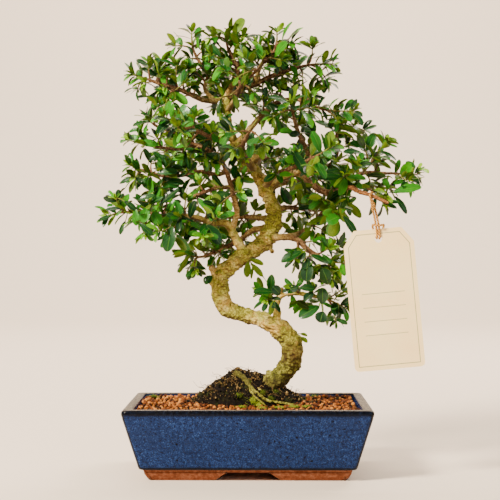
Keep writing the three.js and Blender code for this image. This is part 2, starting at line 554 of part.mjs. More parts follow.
// The leaves of one cluster on a shoot; cluster 0 is the rosette at the tip.
function clusterLeaves(seed, shoot, cluster) {
  const share = 1 - (cluster * CLUSTER_SPACING + TIP_SETBACK) / shoot.length;
  const place = along(shoot, share);
  const ahead = shoot.curve.getTangent(share);
  const reference = Math.abs(ahead.z) > 0.95 ? new THREE.Vector3(1, 0, 0) : new THREE.Vector3(0, 0, 1);
  const side = ahead.clone().cross(reference).normalize();
  const over = ahead.clone().cross(side);
  const outward = place.clone().sub(CANOPY_HEART).normalize();
  const count = cluster === 0 ? 6 : 4;
  return Array.from({ length: count }, (_, leaf) => {
    const chance = (which) => draw(seed, cluster * 31 + leaf * 5 + which);
    const roll = (2 * Math.PI * leaf) / count + cluster * 1.1 + 0.7 * chance(0);
    const tipSpread = between(0.5, 1.1, (leaf % 2) * 0.6 + 0.4 * chance(1));
    const spread = cluster === 0 ? tipSpread : between(0.95, 1.35, chance(1));
    const direction = ahead.clone().multiplyScalar(Math.cos(spread))
      .addScaledVector(side, Math.sin(spread) * Math.cos(roll))
      .addScaledVector(over, Math.sin(spread) * Math.sin(roll));
    direction.z += 0.12;
    direction.normalize();
    const face = outward.clone().multiplyScalar(0.55);
    face.x += 0.7 * (chance(2) - 0.5);
    face.y += 0.7 * (chance(3) - 0.5) - 0.12;
    face.z += 0.5;
    face.addScaledVector(direction, -face.dot(direction)).normalize();
    const length = cluster === 0 ? between(8, 14, chance(4)) : between(13, 24, chance(4) ** 1.3);
    return { place, direction, face, length };
  });
}

// A leaf blade: a wedge from its stalk to a blunt drooping tip, with a keel along the underside.
function blade({ place, direction, face, length }) {
  const across = direction.clone().cross(face);
  const halfWidth = length * LEAF_HALF_WIDTH;
  const at = (along, out, up) => place.clone().addScaledVector(direction, along * length)
    .addScaledVector(across, out * halfWidth).addScaledVector(face, up);
  const lift = 0.04 * length;
  const rim = [at(0.66, 1, lift), at(0.98, 0.45, -lift), at(0.98, -0.45, -lift), at(0.66, -1, lift)];
  const points = [at(0, 0, 0), ...rim, at(0.42, 0, -LEAF_THICKNESS)];
  const [stalk, right, tipRight, tipLeft, left, keel] = [0, 1, 2, 3, 4, 5];
  const faces = [stalk, right, left, right, tipRight, left, tipRight, tipLeft, left];
  for (let edge = stalk; edge < keel; edge++) faces.push((edge + 1) % keel, edge, keel);
  const geometry = new THREE.BufferGeometry().setFromPoints(points);
  geometry.setIndex(faces);
  return solid(geometry);
}

// The twig of one shoot.
function twig(shoot, isLeader) {
  const footRadius = isLeader ? TWIG_RADIUS : TWIG_RADIUS * 0.75;
  const steps = shoot.stations.length - 1;
  let normal = new THREE.Vector3(0.1, 1, 0.05);
  const rings = shoot.stations.map((centre, step) => {
    const share = step / steps;
    const radius = between(footRadius, TWIG_TIP_RADIUS, share);
    const tangent = shoot.curve.getTangent(share);
    normal = normal.clone().addScaledVector(tangent, -normal.dot(tangent)).normalize();
    const across = tangent.clone().cross(normal);
    return Array.from({ length: TWIG_SIDES }, (_, side) => {
      const angle = (2 * Math.PI * side) / TWIG_SIDES;
      return centre.clone().addScaledVector(normal, radius * Math.cos(angle))
        .addScaledVector(across, radius * Math.sin(angle));
    });
  });
  return loft(rings);
}

function clearOf(shape, box, others) {
  const near = others.filter((other) => box.intersectsBox(other.box));
  return near.every((other) => shape.minGap(other.shape, 1) > LEAF_CLEARANCE);
}

function boxOf(shape) {
  const { min, max } = shape.boundingBox();
  return new THREE.Box3(vector(min), vector(max)).expandByScalar(LEAF_CLEARANCE);
}

// One spray: its twigs, with leaves that stay clear of every other piece.
function makeSpray(spray, number, others) {
  const shoots = shootsOf(spray);
  const parts = [];
  shoots.forEach((shoot, order) => {
    const stem = twig(shoot, order === 0);
    if (order > 0 && !clearOf(stem, boxOf(stem), others)) return;
    parts.push(stem);
    const clusters = Math.floor((shoot.length - BARE_FOOT) / CLUSTER_SPACING);
    for (let cluster = 0; cluster <= clusters; cluster += cluster < (order === 0 ? 3 : 1) ? 1 : 2) {
      const leaves = clusterLeaves(number * 7 + order, shoot, cluster);
      const half = leaves.length / 2;
      const groups = cluster === 0 ? [leaves.slice(0, half), leaves.slice(half)] : [leaves];
      for (const group of groups) {
        const fitting = group.map(blade).find((leaf) => clearOf(leaf, boxOf(leaf), others));
        if (fitting) parts.push(fitting);
      }
    }
  });
  return Manifold.union(parts);
}

// Tag: a card with two cut corners, two round ones and a hole for the twine.
function makeCard() {
  const half = CARD_WIDTH / 2;
  const [cutX, cutY] = CARD_CHAMFER;
  const top = CARD_HOLE_DROP;
  const bottom = CARD_HOLE_DROP - CARD_HEIGHT;
  const outline = new THREE.Shape();
  outline.moveTo(-half + cutX, top);
  outline.lineTo(-half, top - cutY);
  outline.lineTo(-half, bottom + CARD_CORNER);
  outline.quadraticCurveTo(-half, bottom, -half + CARD_CORNER, bottom);
  outline.lineTo(half - CARD_CORNER, bottom);
  outline.quadraticCurveTo(half, bottom, half, bottom + CARD_CORNER);
  outline.lineTo(half, top - cutY);
  outline.lineTo(half - cutX, top);
  outline.holes.push(new THREE.Path().absarc(0, 0, CARD_HOLE_RADIUS, 0, 2 * Math.PI, true));
  const sheet = { depth: CARD_THICKNESS, bevelEnabled: false, curveSegments: 4 };
  const card = new THREE.ExtrudeGeometry(outline, sheet);
  card.translate(0, 0, -CARD_THICKNESS / 2).rotateX(Math.PI / 2).rotateY(-CARD_TILT);
  card.translate(CARD_HOLE.x, CARD_HOLE.y, CARD_HOLE.z);
  return solid(card);
}

// Twine: a loop over the hook branch whose two strands are hitched through the hole of the card.
const TWINE = [
  [99.8, -57.5, 224.3], [99.1, -57.6, 227.7], [98.8, -57.9, 230.2], [99.2, -58.9, 232],
  [98.9, -60.8, 232.7], [98.1, -62.6, 232], [97.3, -63.1, 230.1], [97.8, -63, 226.7],
  [99.2, -62.6, 219.7], [100.8, -62.1, 212.7], [102, -61.7, 206.2], [102.8, -61.5, 200.7],
  [103, -61.2, 197.3], [103, -59.9, 195.9], [102.4, -58.6, 197.3], [100.6, -58.4, 201.7],
  [99.6, -59, 205.3], [99.8, -61.2, 206.6], [101.4, -63.4, 206.4], [104, -63.8, 206.2],
  [106.6, -63.4, 206.4], [108.2, -61.2, 206.6], [108.4, -59, 205.3], [107.4, -58.4, 201.7],
  [105.6, -58.6, 197.3], [105, -59.9, 195.9], [105, -61.2, 197.3], [104.8, -61.5, 200.7],
  [104.2, -61.5, 206.7], [103, -60.8, 212.7], [101.6, -59, 219.7], [100.6, -57.6, 224.1],
];

function makeTwine() {
  const curve = new THREE.CatmullRomCurve3(TWINE.map(vector), false, "centripetal");
  const radius = TWINE_DIAMETER / 2;
  const section = new THREE.Shape(Array.from({ length: TWINE_SIDES }, (_, side) => {
    const angle = (2 * Math.PI * side) / TWINE_SIDES;
    return new THREE.Vector2(radius * Math.cos(angle), radius * Math.sin(angle));
  }));
  const steps = Math.round(curve.getLength() / TWINE_STEP);
  return solid(new THREE.ExtrudeGeometry(section, { steps, extrudePath: curve, bevelEnabled: false }));
}

// Knot: the small bead in which the two ends of the twine are tied.
function makeKnot() {
  const knot = new THREE.SphereGeometry(1.8, 8, 5);
  knot.scale(1.1, 0.9, 0.8).translate(100.2, -57.3, 223.9);
  return solid(knot);
}

// Finishes seen in daylight
function finish(color, roughness, metalness = 0) {
  return new THREE.MeshStandardMaterial({ color, roughness, metalness });
}
const GLAZE = finish(0x27447f, 0.25);
const CLAY = finish(0xb5673a, 0.9);
const PEAT = finish(0x2f2218, 1);
const BARK = finish(0x8d7b4a, 0.85);
const LEAF = finish(0x2c5a1e, 0.4);
const CARD = finish(0xeee0c8, 0.8);
const TWINE_FIBRE = finish(0xc79a6a, 0.9);
const SCREEN = finish(0x1c1c1c, 0.6);

function build() {
  const model = new THREE.Group();
  const place = (name, rough, material) => {
    const shape = rough.asOriginal().simplify(SEAM_TOLERANCE);
    const mesh = new THREE.Mesh(geometryOf(shape), material);
    mesh.name = name;
    model.add(mesh);
    return { shape, box: boxOf(shape) };
  };
  const knot = makeKnot();
  const twine = makeTwine().subtract(knot);
  const tree = makeTree();
  const others = [place("tree", tree, BARK), place("hang_tag", makeCard(), CARD)];
  others.push({ shape: twine, box: boxOf(twine) });
  place("pot", makePot(), GLAZE);
  const space = rootSpace();
  const screens = [makeScreen(-1, FIT_GAP), makeScreen(1, FIT_GAP)];
  place("root_ball", makeRootBall(0).subtract(space), PEAT);
  place("granules", makeGranules().subtract(makeRootBall(FIT_GAP)).subtract(space)
    .subtract(screens[0]).subtract(screens[1]), CLAY);
  place("drain_screen_left", makeScreen(-1, 0), SCREEN);
  place("drain_screen_right", makeScreen(1, 0), SCREEN);
  SPRAYS.forEach((spray, number) => {
    const name = `spray_${String(number + 1).padStart(2, "0")}`;
    others.push(place(name, makeSpray(spray, number, others), LEAF));
  });
  const footprint = new THREE.Box3().setFromObject(model);
  place("tag_twine", twine, TWINE_FIBRE);
  place("twine_knot", knot, TWINE_FIBRE);
  const centre = footprint.getCenter(new THREE.Vector3());
  model.position.set(-centre.x, -centre.y, 0);
  return model;
}

const bonsai = build();
export default bonsai;
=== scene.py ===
# Fukien tea bonsai in a glazed pot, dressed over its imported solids.
# Places are in millimetres from the middle of the pot's foot until metres() moves them to the frame.
import math
import bmesh
import bpy
import numpy as np
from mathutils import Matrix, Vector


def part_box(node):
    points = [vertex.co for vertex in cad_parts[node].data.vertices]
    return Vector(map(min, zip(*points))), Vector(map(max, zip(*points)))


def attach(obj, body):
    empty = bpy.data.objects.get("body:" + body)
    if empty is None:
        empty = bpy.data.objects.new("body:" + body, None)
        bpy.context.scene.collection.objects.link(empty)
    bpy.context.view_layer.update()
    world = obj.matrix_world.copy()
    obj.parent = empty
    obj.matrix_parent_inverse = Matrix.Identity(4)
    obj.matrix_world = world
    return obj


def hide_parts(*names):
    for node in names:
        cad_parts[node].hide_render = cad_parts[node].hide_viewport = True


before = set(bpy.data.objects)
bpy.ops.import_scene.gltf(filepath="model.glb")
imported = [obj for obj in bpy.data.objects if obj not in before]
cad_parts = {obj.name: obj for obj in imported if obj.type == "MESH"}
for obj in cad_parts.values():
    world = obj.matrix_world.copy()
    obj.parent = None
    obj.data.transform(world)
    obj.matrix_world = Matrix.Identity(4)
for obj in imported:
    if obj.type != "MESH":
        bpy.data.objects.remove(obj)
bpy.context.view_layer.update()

POT_LOW, POT_HIGH = (np.array(corner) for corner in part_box("pot"))
FOOT_MIDDLE = (POT_LOW + POT_HIGH) / 2 * (1, 1, 0)

# Sizes of the pot, as the solids have them
POT_HALF = (100.8, 65.0)
POT_HEIGHT = 59.0
RIM_WIDTH = 8.2
CORNER_RADIUS = 4.0
WALL_TAPER = 12.8
BASE_HEIGHT = 9.5
CAVITY_FLOOR = 16.5
CAVITY_TAPER = 12.0
FOOT_HEIGHT = 7.4
FOOT_INSET = 3.4
FOOT_SLOPE = 5.0
FOOT_WIDTH = 13.0
FOOT_GAP_LONG = (28.5, 18.0)
FOOT_GAP_SHORT = (17.0, 10.0)
DRAIN_RADIUS = 8.0
DRAIN_OFFSET = 42.0
SOIL_LEVEL = 56.6
MOUND_PEAK = (-10.0, 10.0)
MOUND_REACH = {"left": 46.0, "right": 54.0, "front": 26.0, "back": 38.0}
MOUND_SETBACK = 12.0
CARD_SIZE = (56.0, 112.0)
CARD_CHAMFER = (9.0, 12.0)
CARD_HOLE = (104.1, -60.0, 195.4)
CARD_HOLE_DROP = 8.0
CARD_TILT = math.radians(5.3)
TWINE_DIAMETER = 1.8

# Centre lines of the limbs: x, y, z and radius
TRUNK = (
    (10, 8, 41.7, 7.5), (14, 7, 59.7, 9), (20, 5, 73.7, 8.6), (28, 3, 80.7, 8.3),
    (35, 0, 91.7, 8.6), (37, -2, 99.7, 8.8), (35, -3, 109.7, 8.7), (28, -3, 119.2, 8.2),
    (14, -1, 126.7, 6.8), (3, 2, 130.2, 6.4), (-8, 4, 133.2, 6.6), (-19, 4, 137.7, 7.3),
    (-23.5, 3, 146.7, 7.5), (-24, 1, 155.7, 7.5), (-23, -2, 164.7, 7.4), (-19, -4, 170.2, 7.2),
    (-12, -5, 175.7, 6.8), (-4, -4, 181.7, 7), (5, -1, 187.7, 7.1), (13, 2, 193.2, 7.3),
    (18, 3, 201.7, 7), (21, 3, 210.7, 6.6), (21.5, 2, 218.7, 6.3), (19, 0, 227.7, 6),
    (15, -1, 235.7, 5.7), (11, 0, 243.7, 5.5), (5, 2, 254.2, 5), (-5, 4, 266.2, 4.6),
    (-12, 4, 278.2, 4.1), (-16.5, 2, 291.7, 3.6), (-17.5, 0, 305.2, 3.1), (-19, 0, 316.2, 2.8),
)

ROOTS = {
    "crest": [(14, 9, 63, 5), (6, 11, 71, 3.6), (-5, 9, 78, 3), (-10.5, 5, 81.8, 2.9),
        (-6.3, 1.5, 80, 2.6), (-2, -2.5, 76.2, 2.2), (1.4, -7, 71.8, 1.9), (5.6, -10, 68.2, 1.6),
        (10.6, -13, 64.2, 1.5), (16.5, -15, 61.1, 1.3), (28.2, -14.5, 59.2, 1.1), (41, -18, 57.4, 0.9)],
    "fork": [(0, -5, 73.4, 1.6), (2.3, -10.5, 68.2, 1.2), (5.6, -14, 63.8, 1.1), (9.8, -17, 61, 1),
        (14, -20, 58.4, 0.8)],
    "shoulder": [(12, 4, 66, 3), (3.5, -3, 71, 2), (7.5, -6, 69.6, 1.9), (13, -10, 65, 1.2)],
    "back": [(14, 12, 61.7, 6), (6, 26, 63.7, 4), (-4, 36, 56.7, 2.6)],
    "deep_left": [(10, 9, 47.7, 6), (-12, 14, 37.7, 3.6), (-30, 16, 29.7, 2)],
    "deep_right": [(12, 8, 47.7, 6), (28, 2, 37.7, 3.6), (40, -2, 29.7, 2)],
}

BRANCHES = {
    "left_low": [(-2, -3, 183.2, 4.4), (-8, -6, 191.7, 3.8), (-13, -10, 201.7, 3.4), (-18.5, -14, 208.7, 3),
        (-30, -18, 209.2, 2.6), (-40, -20, 212.7, 2.4), (-51, -22, 214.7, 2.3), (-67, -24, 213.2, 2),
        (-81, -22, 217.2, 1.7), (-96, -20, 218.2, 1.4)],
    "left_back": [(17, 5, 205.7, 3), (4, 12, 203.7, 2.5), (-8, 20, 195.2, 2.2), (-23, 25, 187.7, 1.9),
        (-38, 25, 181.7, 1.5)],
    "right_low": [(19, 1, 196.7, 3.2), (31, -6, 197.7, 2.7), (41, -10, 195.2, 2.4), (50, -14, 186.7, 2.1),
        (60, -16, 180.7, 1.7)],
    "right_mid": [(31, -6, 197.7, 2.3), (45, 4, 201.7, 2), (57, 8, 211.7, 1.8), (65, 10, 221.7, 1.5)],
    "right_main": [(14, -1, 239.7, 4), (30, 2, 248.7, 3.3), (43, 0, 251.2, 3), (53, -6, 242.2, 2.8),
        (64, -10, 235.2, 2.5), (78, -12, 236.2, 2.2), (90, -14, 238.7, 1.7)],
    "right_far": [(78, -12, 236.2, 2), (95, -8, 250.7, 1.7), (115, -8, 251, 1.3)],
    "hook": [(78, -12, 236.2, 2), (84, -36, 237.7, 1.8), (89.5, -55, 233.2, 1.7), (98, -60.5, 230.2, 1.5),
        (111, -62.5, 224.2, 1.3)],
    "right_up": [(42, 0, 251.2, 2.6), (50, -14, 264.2, 2.2), (46, -20, 274.7, 2), (41, -25, 284.7, 1.8),
        (38, -28, 295.2, 1.5)],
    "right_side": [(43, 0, 251.2, 2.2), (62, 4, 252.7, 2), (75, 8, 267.7, 1.7), (75, 8, 285.7, 1.4)],
    "mid_right": [(-12, 4, 275.7, 3.4), (-4, 5, 283.7, 2.7), (4, 8, 293.2, 2.4), (12, 10, 302.7, 2.2),
        (27, 8, 313.7, 1.9), (42, 4, 314.2, 1.6), (58.5, -4, 306.7, 1.3)],
    "top_right": [(-19, 0, 314.7, 2.7), (-5, 2, 323.2, 2.4), (6, 4, 327.7, 2.2), (17, 6, 333.5, 2),
        (29, 8, 338.2, 1.7), (44, 8, 342.8, 1.4)],
    "top_right_up": [(6, 4, 327.7, 1.9), (8, -1, 336.3, 1.7), (12, -5, 344.6, 1.5), (20, -6, 349.5, 1.4),
        (22.5, -6, 356.2, 1.2)],
    "top_up": [(-19, 0, 314.7, 2.6), (-14.5, -4, 324.2, 2.3), (-9, -8, 331.6, 2.1), (-9.5, -10, 340, 1.9),
        (-14, -10, 349.1, 1.6), (-17, -8, 356.2, 1.3)],
    "top_left": [(-19, 0, 314.7, 2.6), (-29, -4, 312.2, 2.3), (-40.5, -8, 313.7, 2.1), (-50.5, -10, 318.2, 2),
        (-61, -12, 322.2, 1.8), (-73.8, -12, 325.7, 1.5), (-81.7, -12, 328.7, 1.3)],
    "top_left_up": [(-29, -4, 312.2, 2), (-37, 2, 323.7, 1.7), (-34.5, 4, 336.3, 1.5), (-41, 4, 345.5, 1.3),
        (-45, 4, 352.6, 1.2)],
    "left_up": [(-13, 4, 281.7, 3), (-31, 6, 281.7, 2), (-46, 10, 275.7, 1.7), (-60, 12, 273.2, 1.5),
        (-76, 12, 274.7, 1.3)],
    "left_up_high": [(-31, 6, 281.7, 1.8), (-48, 0, 282.7, 1.5), (-64, -4, 286.2, 1.4), (-76, -4, 290.7, 1.2)],
    "left_mid": [(-14, -11, 203.7, 2.6), (-9.5, -16, 218.2, 2.3), (-12.5, -20, 232.2, 2.1),
        (-16, -22, 246.2, 2), (-21.5, -24, 259.2, 1.9), (-33, -24, 269.2, 1.6), (-45.5, -24, 274.7, 1.3)],
    "left_mid_low": [(4, 2, 255.7, 3), (-14, 4, 253.7, 2), (-28, 0, 250.7, 1.9), (-41, -8, 252.7, 1.7),
        (-54, -8, 249.7, 1.5), (-70, -8, 248.7, 1.4), (-83, -8, 252.2, 1.2)],
    "left_down": [(-14, -21, 238.7, 1.9), (-26, -26, 237.7, 1.6), (-44, -28, 231.2, 1.3)],
    "low_right": [(24, -3, 121.7, 4.6), (24, -4, 133.7, 3.2), (24, -6, 141.7, 2.7), (27, -7, 147.7, 2.4),
        (35, -9, 150.7, 2), (46, -11, 149.7, 1.8), (58, -13, 147.7, 1.5)],
    "front_mid": [(5, 2, 254.2, 3.2), (-2, -30, 263.7, 2.2), (-4, -55, 269.7, 1.8), (0, -72, 276.7, 1.4)],
    "front_right": [(13, -1, 239.7, 3.2), (22, -24, 247.7, 2.1), (38, -48, 253.7, 1.7), (52, -62, 259.7, 1.4)],
    "front_left": [(-5, 4, 266.2, 3), (-20, -22, 273.7, 2), (-38, -45, 281.7, 1.6), (-52, -58, 285.7, 1.3)],
    "front_top": [(-17.5, 0, 305.2, 2.4), (-10, -18, 313.7, 1.9), (-4, -38, 323.7, 1.6), (6, -52, 329.7, 1.3)],
    "back_mid": [(5, 2, 254.2, 3.2), (8, 30, 263.7, 2.2), (14, 56, 269.7, 1.7), (10, 76, 275.7, 1.3)],
    "back_left": [(-5, 4, 266.2, 3), (-25, 28, 269.7, 2), (-45, 50, 273.7, 1.6), (-62, 62, 271.7, 1.3)],
    "back_right": [(14, -1, 237.7, 3.2), (34, 28, 245.7, 2), (56, 48, 249.7, 1.6), (74, 58, 251.7, 1.3)],
    "back_top": [(-17, 1, 299.7, 2.6), (-18, 22, 315.7, 1.9), (-24, 42, 325.7, 1.5), (-20, 56, 331.6, 1.3)],
    "back_low_left": [(21, 3, 212.7, 3), (-2, 34, 215.7, 2), (-25, 52, 215.7, 1.6), (-42, 58, 213.7, 1.3)],
    "back_low_right": [(21, 2, 220.7, 3), (36, 30, 223.7, 2), (54, 46, 221.7, 1.5)],
}

KNOBS = {
    "trunk_left": [(-24, -2, 163.7, 4), (-28.5, -3, 167.7, 3.1), (-30.8, -4, 171.4, 2.8)],
    "trunk_under": [(14, 2, 191.7, 2.4), (18.6, 0.5, 187.4, 1.5), (20, 0, 185.6, 1.9)],
    "low_branch": [(26, -7, 146.7, 2.4), (27.5, -7, 151.2, 2), (28, -7, 153.7, 1.8)],
    "crown": [(0, 3, 258.7, 4), (8, -4, 265.7, 3), (12, -8, 268.7, 2.4)],
}

SPRAYS = (
    ("left_low", 9, [(-118, -16, 215), (-109, -26, 229), (-106, -8, 225)]),
    ("left_low", 8, [(-84, -38, 199.7), (-80, -40, 225.7)]),
    ("left_low", 6, [(-60, -42, 195.7), (-54, -48, 213.7), (-72, -46, 201.7)]),
    ("left_low", 7, [(-74, 2, 221.7), (-64, -6, 237.7)]),
    ("left_low", 4, [(-36, -44, 197.7), (-24, -48, 213.7)]),
    ("left_back", 4, [(-57, 28, 185.7), (-50, 38, 174.7), (-46, 18, 169.7)]),
    ("left_back", 2, [(-24, 46, 201.7), (-32, 40, 179.7)]),
    ("right_low", 4, [(80, -22, 175.7), (68, -30, 163.7), (76, -6, 191.7)]),
    ("right_low", 2, [(38, -34, 178.7), (52, -32, 169.7)]),
    ("right_mid", 3, [(83, 18, 225.7), (72, -4, 233.7), (72, 34, 213.7)]),
    ("right_main", 6, [(119, -16, 237.7), (112, -28, 223.7)]),
    ("right_main", 5, [(90, -32, 257.7), (78, -40, 247.7)]),
    ("right_main", 4, [(72, -34, 215.7), (58, -36, 227.7)]),
    ("right_far", 2, [(142, -8, 250), (132, -22, 243)]),
    ("right_far", 1, [(114, -14, 276.7), (95, -2, 276.7), (104, 14, 265.7)]),
    ("right_up", 4, [(34, -48, 306.7), (52, -42, 301.7), (20, -46, 293.7)]),
    ("right_up", 1, [(64, -36, 265.7), (44, -44, 257.7)]),
    ("right_side", 3, [(88, 12, 298.7), (74, 26, 303.7), (100, 22, 289.7)]),
    ("mid_right", 6, [(89, -8, 303.7), (74, -22, 293.7)]),
    ("mid_right", 5, [(60, 20, 325.7), (52, 30, 305.7)]),
    ("mid_right", 3, [(30, 40, 297.7), (14, 40, 305.7)]),
    ("top_right", 5, [(72, 6, 344.6), (54, 0, 359), (68, 20, 331.6)]),
    ("top_right_up", 4, [(24, -6, 370.2), (38, -14, 359)]),
    ("top_right_up", 2, [(10, -28, 351.7), (28, -28, 342.8)]),
    ("top_up", 5, [(-14, -4, 374.5), (-2, -14, 364.5), (-32, -18, 362.6)]),
    ("top_up", 3, [(-30, -32, 346.4), (-8, -34, 342.8)]),
    ("top_left_up", 4, [(-48, 2, 372.2), (-64, -2, 359), (-34, 20, 360.8)]),
    ("top_left", 6, [(-97, -14, 333.5), (-94.1, 0, 322.7)]),
    ("top_left", 4, [(-68, -28, 305.7), (-52, -32, 323.7)]),
    ("top_left", 5, [(-73.8, 10, 346.4), (-62, 24, 333.5)]),
    ("left_up", 4, [(-102, 10, 280.7), (-94, 24, 291.7)]),
    ("left_up", 2, [(-58, 36, 293.7), (-62, 22, 259.7)]),
    ("left_up_high", 3, [(-86.1, -6, 298.7), (-73.8, -20, 305.7)]),
    ("left_mid", 6, [(-64, -34, 277.7), (-56, -32, 295.7)]),
    ("left_mid", 5, [(-34, -46, 260.7), (-20, -42, 255.7)]),
    ("left_mid", 2, [(-6, -46, 233.7), (-28, -44, 219.7)]),
    ("left_mid_low", 6, [(-99, -8, 257.7), (-94, -22, 245.7), (-96, 8, 245.7)]),
    ("left_mid_low", 5, [(-72, -24, 237.7), (-62, -28, 263.7), (-78, 12, 233.7)]),
    ("low_right", 6, [(82, -16, 137.7), (78, -8, 153.7), (72, -24, 128.7)]),
    ("low_right", 3, [(10, -10, 152.7), (16, -20, 144.7)]),
    ("front_mid", 3, [(8, -88, 287.7), (-16, -84, 277.7), (14, -84, 267.7)]),
    ("front_right", 3, [(66, -74, 267.7), (50, -82, 251.7)]),
    ("front_left", 3, [(-66, -70, 291.7), (-50, -78, 277.7)]),
    ("front_top", 3, [(12, -70, 337.3), (-8, -66, 323.7)]),
    ("back_mid", 3, [(14, 94, 283.7), (-8, 88, 269.7), (22, 84, 263.7)]),
    ("back_left", 3, [(-80, 70, 277.7), (-60, 80, 263.7)]),
    ("back_right", 3, [(92, 66, 257.7), (76, 78, 243.7)]),
    ("back_top", 3, [(-22, 74, 339.1), (2, 68, 335.4)]),
    ("back_low_left", 3, [(-60, 68, 217.7), (-40, 76, 207.7)]),
    ("back_low_right", 2, [(72, 56, 223.7), (52, 68, 213.7)]),
)

BROAD_LEAVES = (
    # base and tip as column and row of the 500 x 500 photograph, read off it, then the width there,
    # and 0 deep green, 1 bright, 2 seen from below, 3 young
    (159.3, 206.2, 178.4, 189.6, 10, 0), (172.7, 226, 166.7, 250.7, 12, 0),
    (205.6, 224.4, 219.3, 243.8, 13, 0),
    (243.3, 198.9, 239.3, 215.6, 12.5, 0), (234.4, 168.2, 241, 187.3, 8, 0), (221, 153.3, 223.3, 140.7, 9, 0),
    (224.4, 154, 246, 151.8, 8, 1), (135.6, 208.9, 136.2, 225, 7.5, 1), (148.2, 206.7, 142.2, 221.6, 10, 1),
    (153.3, 211, 159.3, 224.4, 10, 1), (168.9, 203.8, 172.7, 219.3, 8, 1), (196.2, 224.4, 177.1, 220, 8, 0),
    (198.4, 226, 184.4, 238.4, 8.5, 0), (139.3, 223.3, 151.8, 234.9, 6.5, 0),
    (125.6, 220.7, 120, 234, 4.5, 0),
    (191.1, 253.3, 179.3, 272.2, 5.5, 2), (194, 250, 174.4, 257.1, 5.5, 2), (196, 250, 182.2, 244.4, 6, 2),
    (112.2, 215.6, 98.4, 220.7, 5, 0), (106.7, 210, 94.9, 206.7, 3, 1), (217.8, 204.4, 214.4, 194.4, 9, 2),
    (214.4, 218.9, 203.8, 206.7, 8, 2), (281.6, 186.7, 291, 204.4, 8, 0), (272.7, 186, 273.3, 198.4, 4.5, 0),
    (166.7, 181.1, 183.8, 183.3, 8, 0), (124.4, 201, 135.6, 210, 6, 0), (137, 200.7, 154.9, 194.9, 5, 0),
    (148.2, 160, 166, 156.7, 6.5, 0), (156.7, 173.3, 176.2, 171.1, 7, 0), (176.7, 146.7, 164.4, 140, 10, 2),
    (174.4, 147.8, 188.2, 145.1, 6, 1), (245.6, 227.8, 261.1, 214.4, 7, 2),
    (248.2, 261.6, 246.9, 276.7, 7, 2),
    (249.6, 259.3, 262.9, 264.4, 6.5, 2), (250.4, 262.9, 262.4, 276, 5.5, 2),
    (253.3, 265.6, 251.3, 278.4, 3, 2),
    (211.8, 275.6, 205.1, 283.8, 9, 0), (274, 292.4, 254.2, 291, 8.5, 0), (280, 295, 273.2, 286.4, 9, 0),
    (282.4, 292, 297.6, 287.6, 8, 0), (299, 288, 314, 289, 8, 0), (274.4, 300, 270.4, 314.4, 6.5, 2),
    (298, 301, 290, 307, 8, 2), (313.6, 292.4, 304.4, 301, 8, 0), (309.6, 309, 296.6, 301.6, 8, 0),
    (320, 306, 299.6, 317, 11, 0), (323.6, 311.6, 319.6, 322, 12, 0), (322, 304, 323, 289, 11, 0),
    (302, 251.6, 282, 261.6, 10, 0), (308, 259, 306, 280.6, 12, 0), (320.4, 263.6, 313, 274.4, 8, 2),
    (311, 255, 327.6, 263.6, 9, 0), (306, 252.4, 299.6, 260.6, 6, 0), (328, 285, 323, 269, 12, 0),
    (300, 333.6, 307, 336, 4, 2), (300.6, 337, 307.2, 342.4, 4.5, 2), (392.9, 192.1, 420.5, 187.1, 9, 1),
    (394.3, 195.7, 406.4, 213.2, 6.5, 0), (388.9, 192.5, 403.2, 191.8, 4, 0),
    (422, 168.9, 428.8, 172.9, 6, 3),
    (418.4, 168, 422, 163.2, 3.5, 3), (416, 167.5, 406, 162.3, 5, 1), (411.3, 171, 411.3, 179.6, 6, 2),
    (407.7, 171, 401.8, 176.4, 6, 2), (397, 166.3, 389.3, 160, 5, 1), (372.9, 157.3, 390.4, 168, 4.5, 2),
    (380, 150.7, 395.7, 160, 6, 0), (386.3, 143.9, 397, 147, 3, 1), (389.3, 188.6, 382.1, 179.3, 8, 1),
    (365.7, 176, 385.4, 176.4, 7, 0), (347, 177, 365.4, 178.8, 6, 1), (343.4, 177.5, 319.6, 177.5, 7, 0),
    (349.6, 172.5, 325, 172.1, 5.5, 0), (363.9, 168, 344.3, 159.1, 6, 2), (333.6, 156, 316.6, 163.6, 10, 1),
    (362.1, 152.9, 343.9, 152, 8, 0), (364.8, 148.4, 357.7, 135, 7, 0), (358.6, 133.2, 339.3, 126.4, 7, 2),
    (353.2, 113.6, 362.5, 124.8, 6, 0), (310.4, 117.1, 309.5, 136.8, 12, 0), (294.6, 132.9, 280, 131.8, 9, 1),
    (281.8, 157.9, 302.3, 179.6, 9, 1), (290.7, 148.9, 306.4, 173.9, 10, 0), (313, 158.2, 309.5, 175.7, 8, 2),
    (313, 185, 292.1, 188.6, 9, 2), (280.9, 186.8, 289.8, 203.8, 9, 0), (347.5, 188.9, 326.4, 202, 8, 0),
    (346, 196, 341.6, 207.3, 8, 0), (347.9, 202.5, 360.4, 217.1, 8, 2), (331.8, 201.4, 333.6, 213.2, 8, 2),
    (339.8, 207.3, 345.7, 221.6, 7, 2), (342.9, 215.7, 355.9, 235, 7.5, 0), (339.8, 217, 326.8, 221.6, 12, 1),
    (338, 219.8, 330, 235.9, 13, 2), (325.5, 217.1, 308.2, 224.3, 6, 1), (322, 197.5, 309.5, 197.5, 8, 2),
    (316.6, 206.4, 298.8, 209.1, 5, 0), (312.1, 230.5, 299.6, 241.3, 8, 2), (316.6, 232.3, 326, 244.8, 7, 2),
    (280, 221.6, 290.7, 231, 6, 2), (297.9, 232.9, 284.5, 231.8, 4.5, 0), (387, 194, 375, 190, 6, 3),
    (387, 195.4, 391.8, 202.5, 5, 3), (386.6, 195, 377.9, 199, 4, 2), (358.6, 181.4, 347.5, 185.9, 9, 0),
    (370.2, 186.8, 359, 186, 6, 2),
)

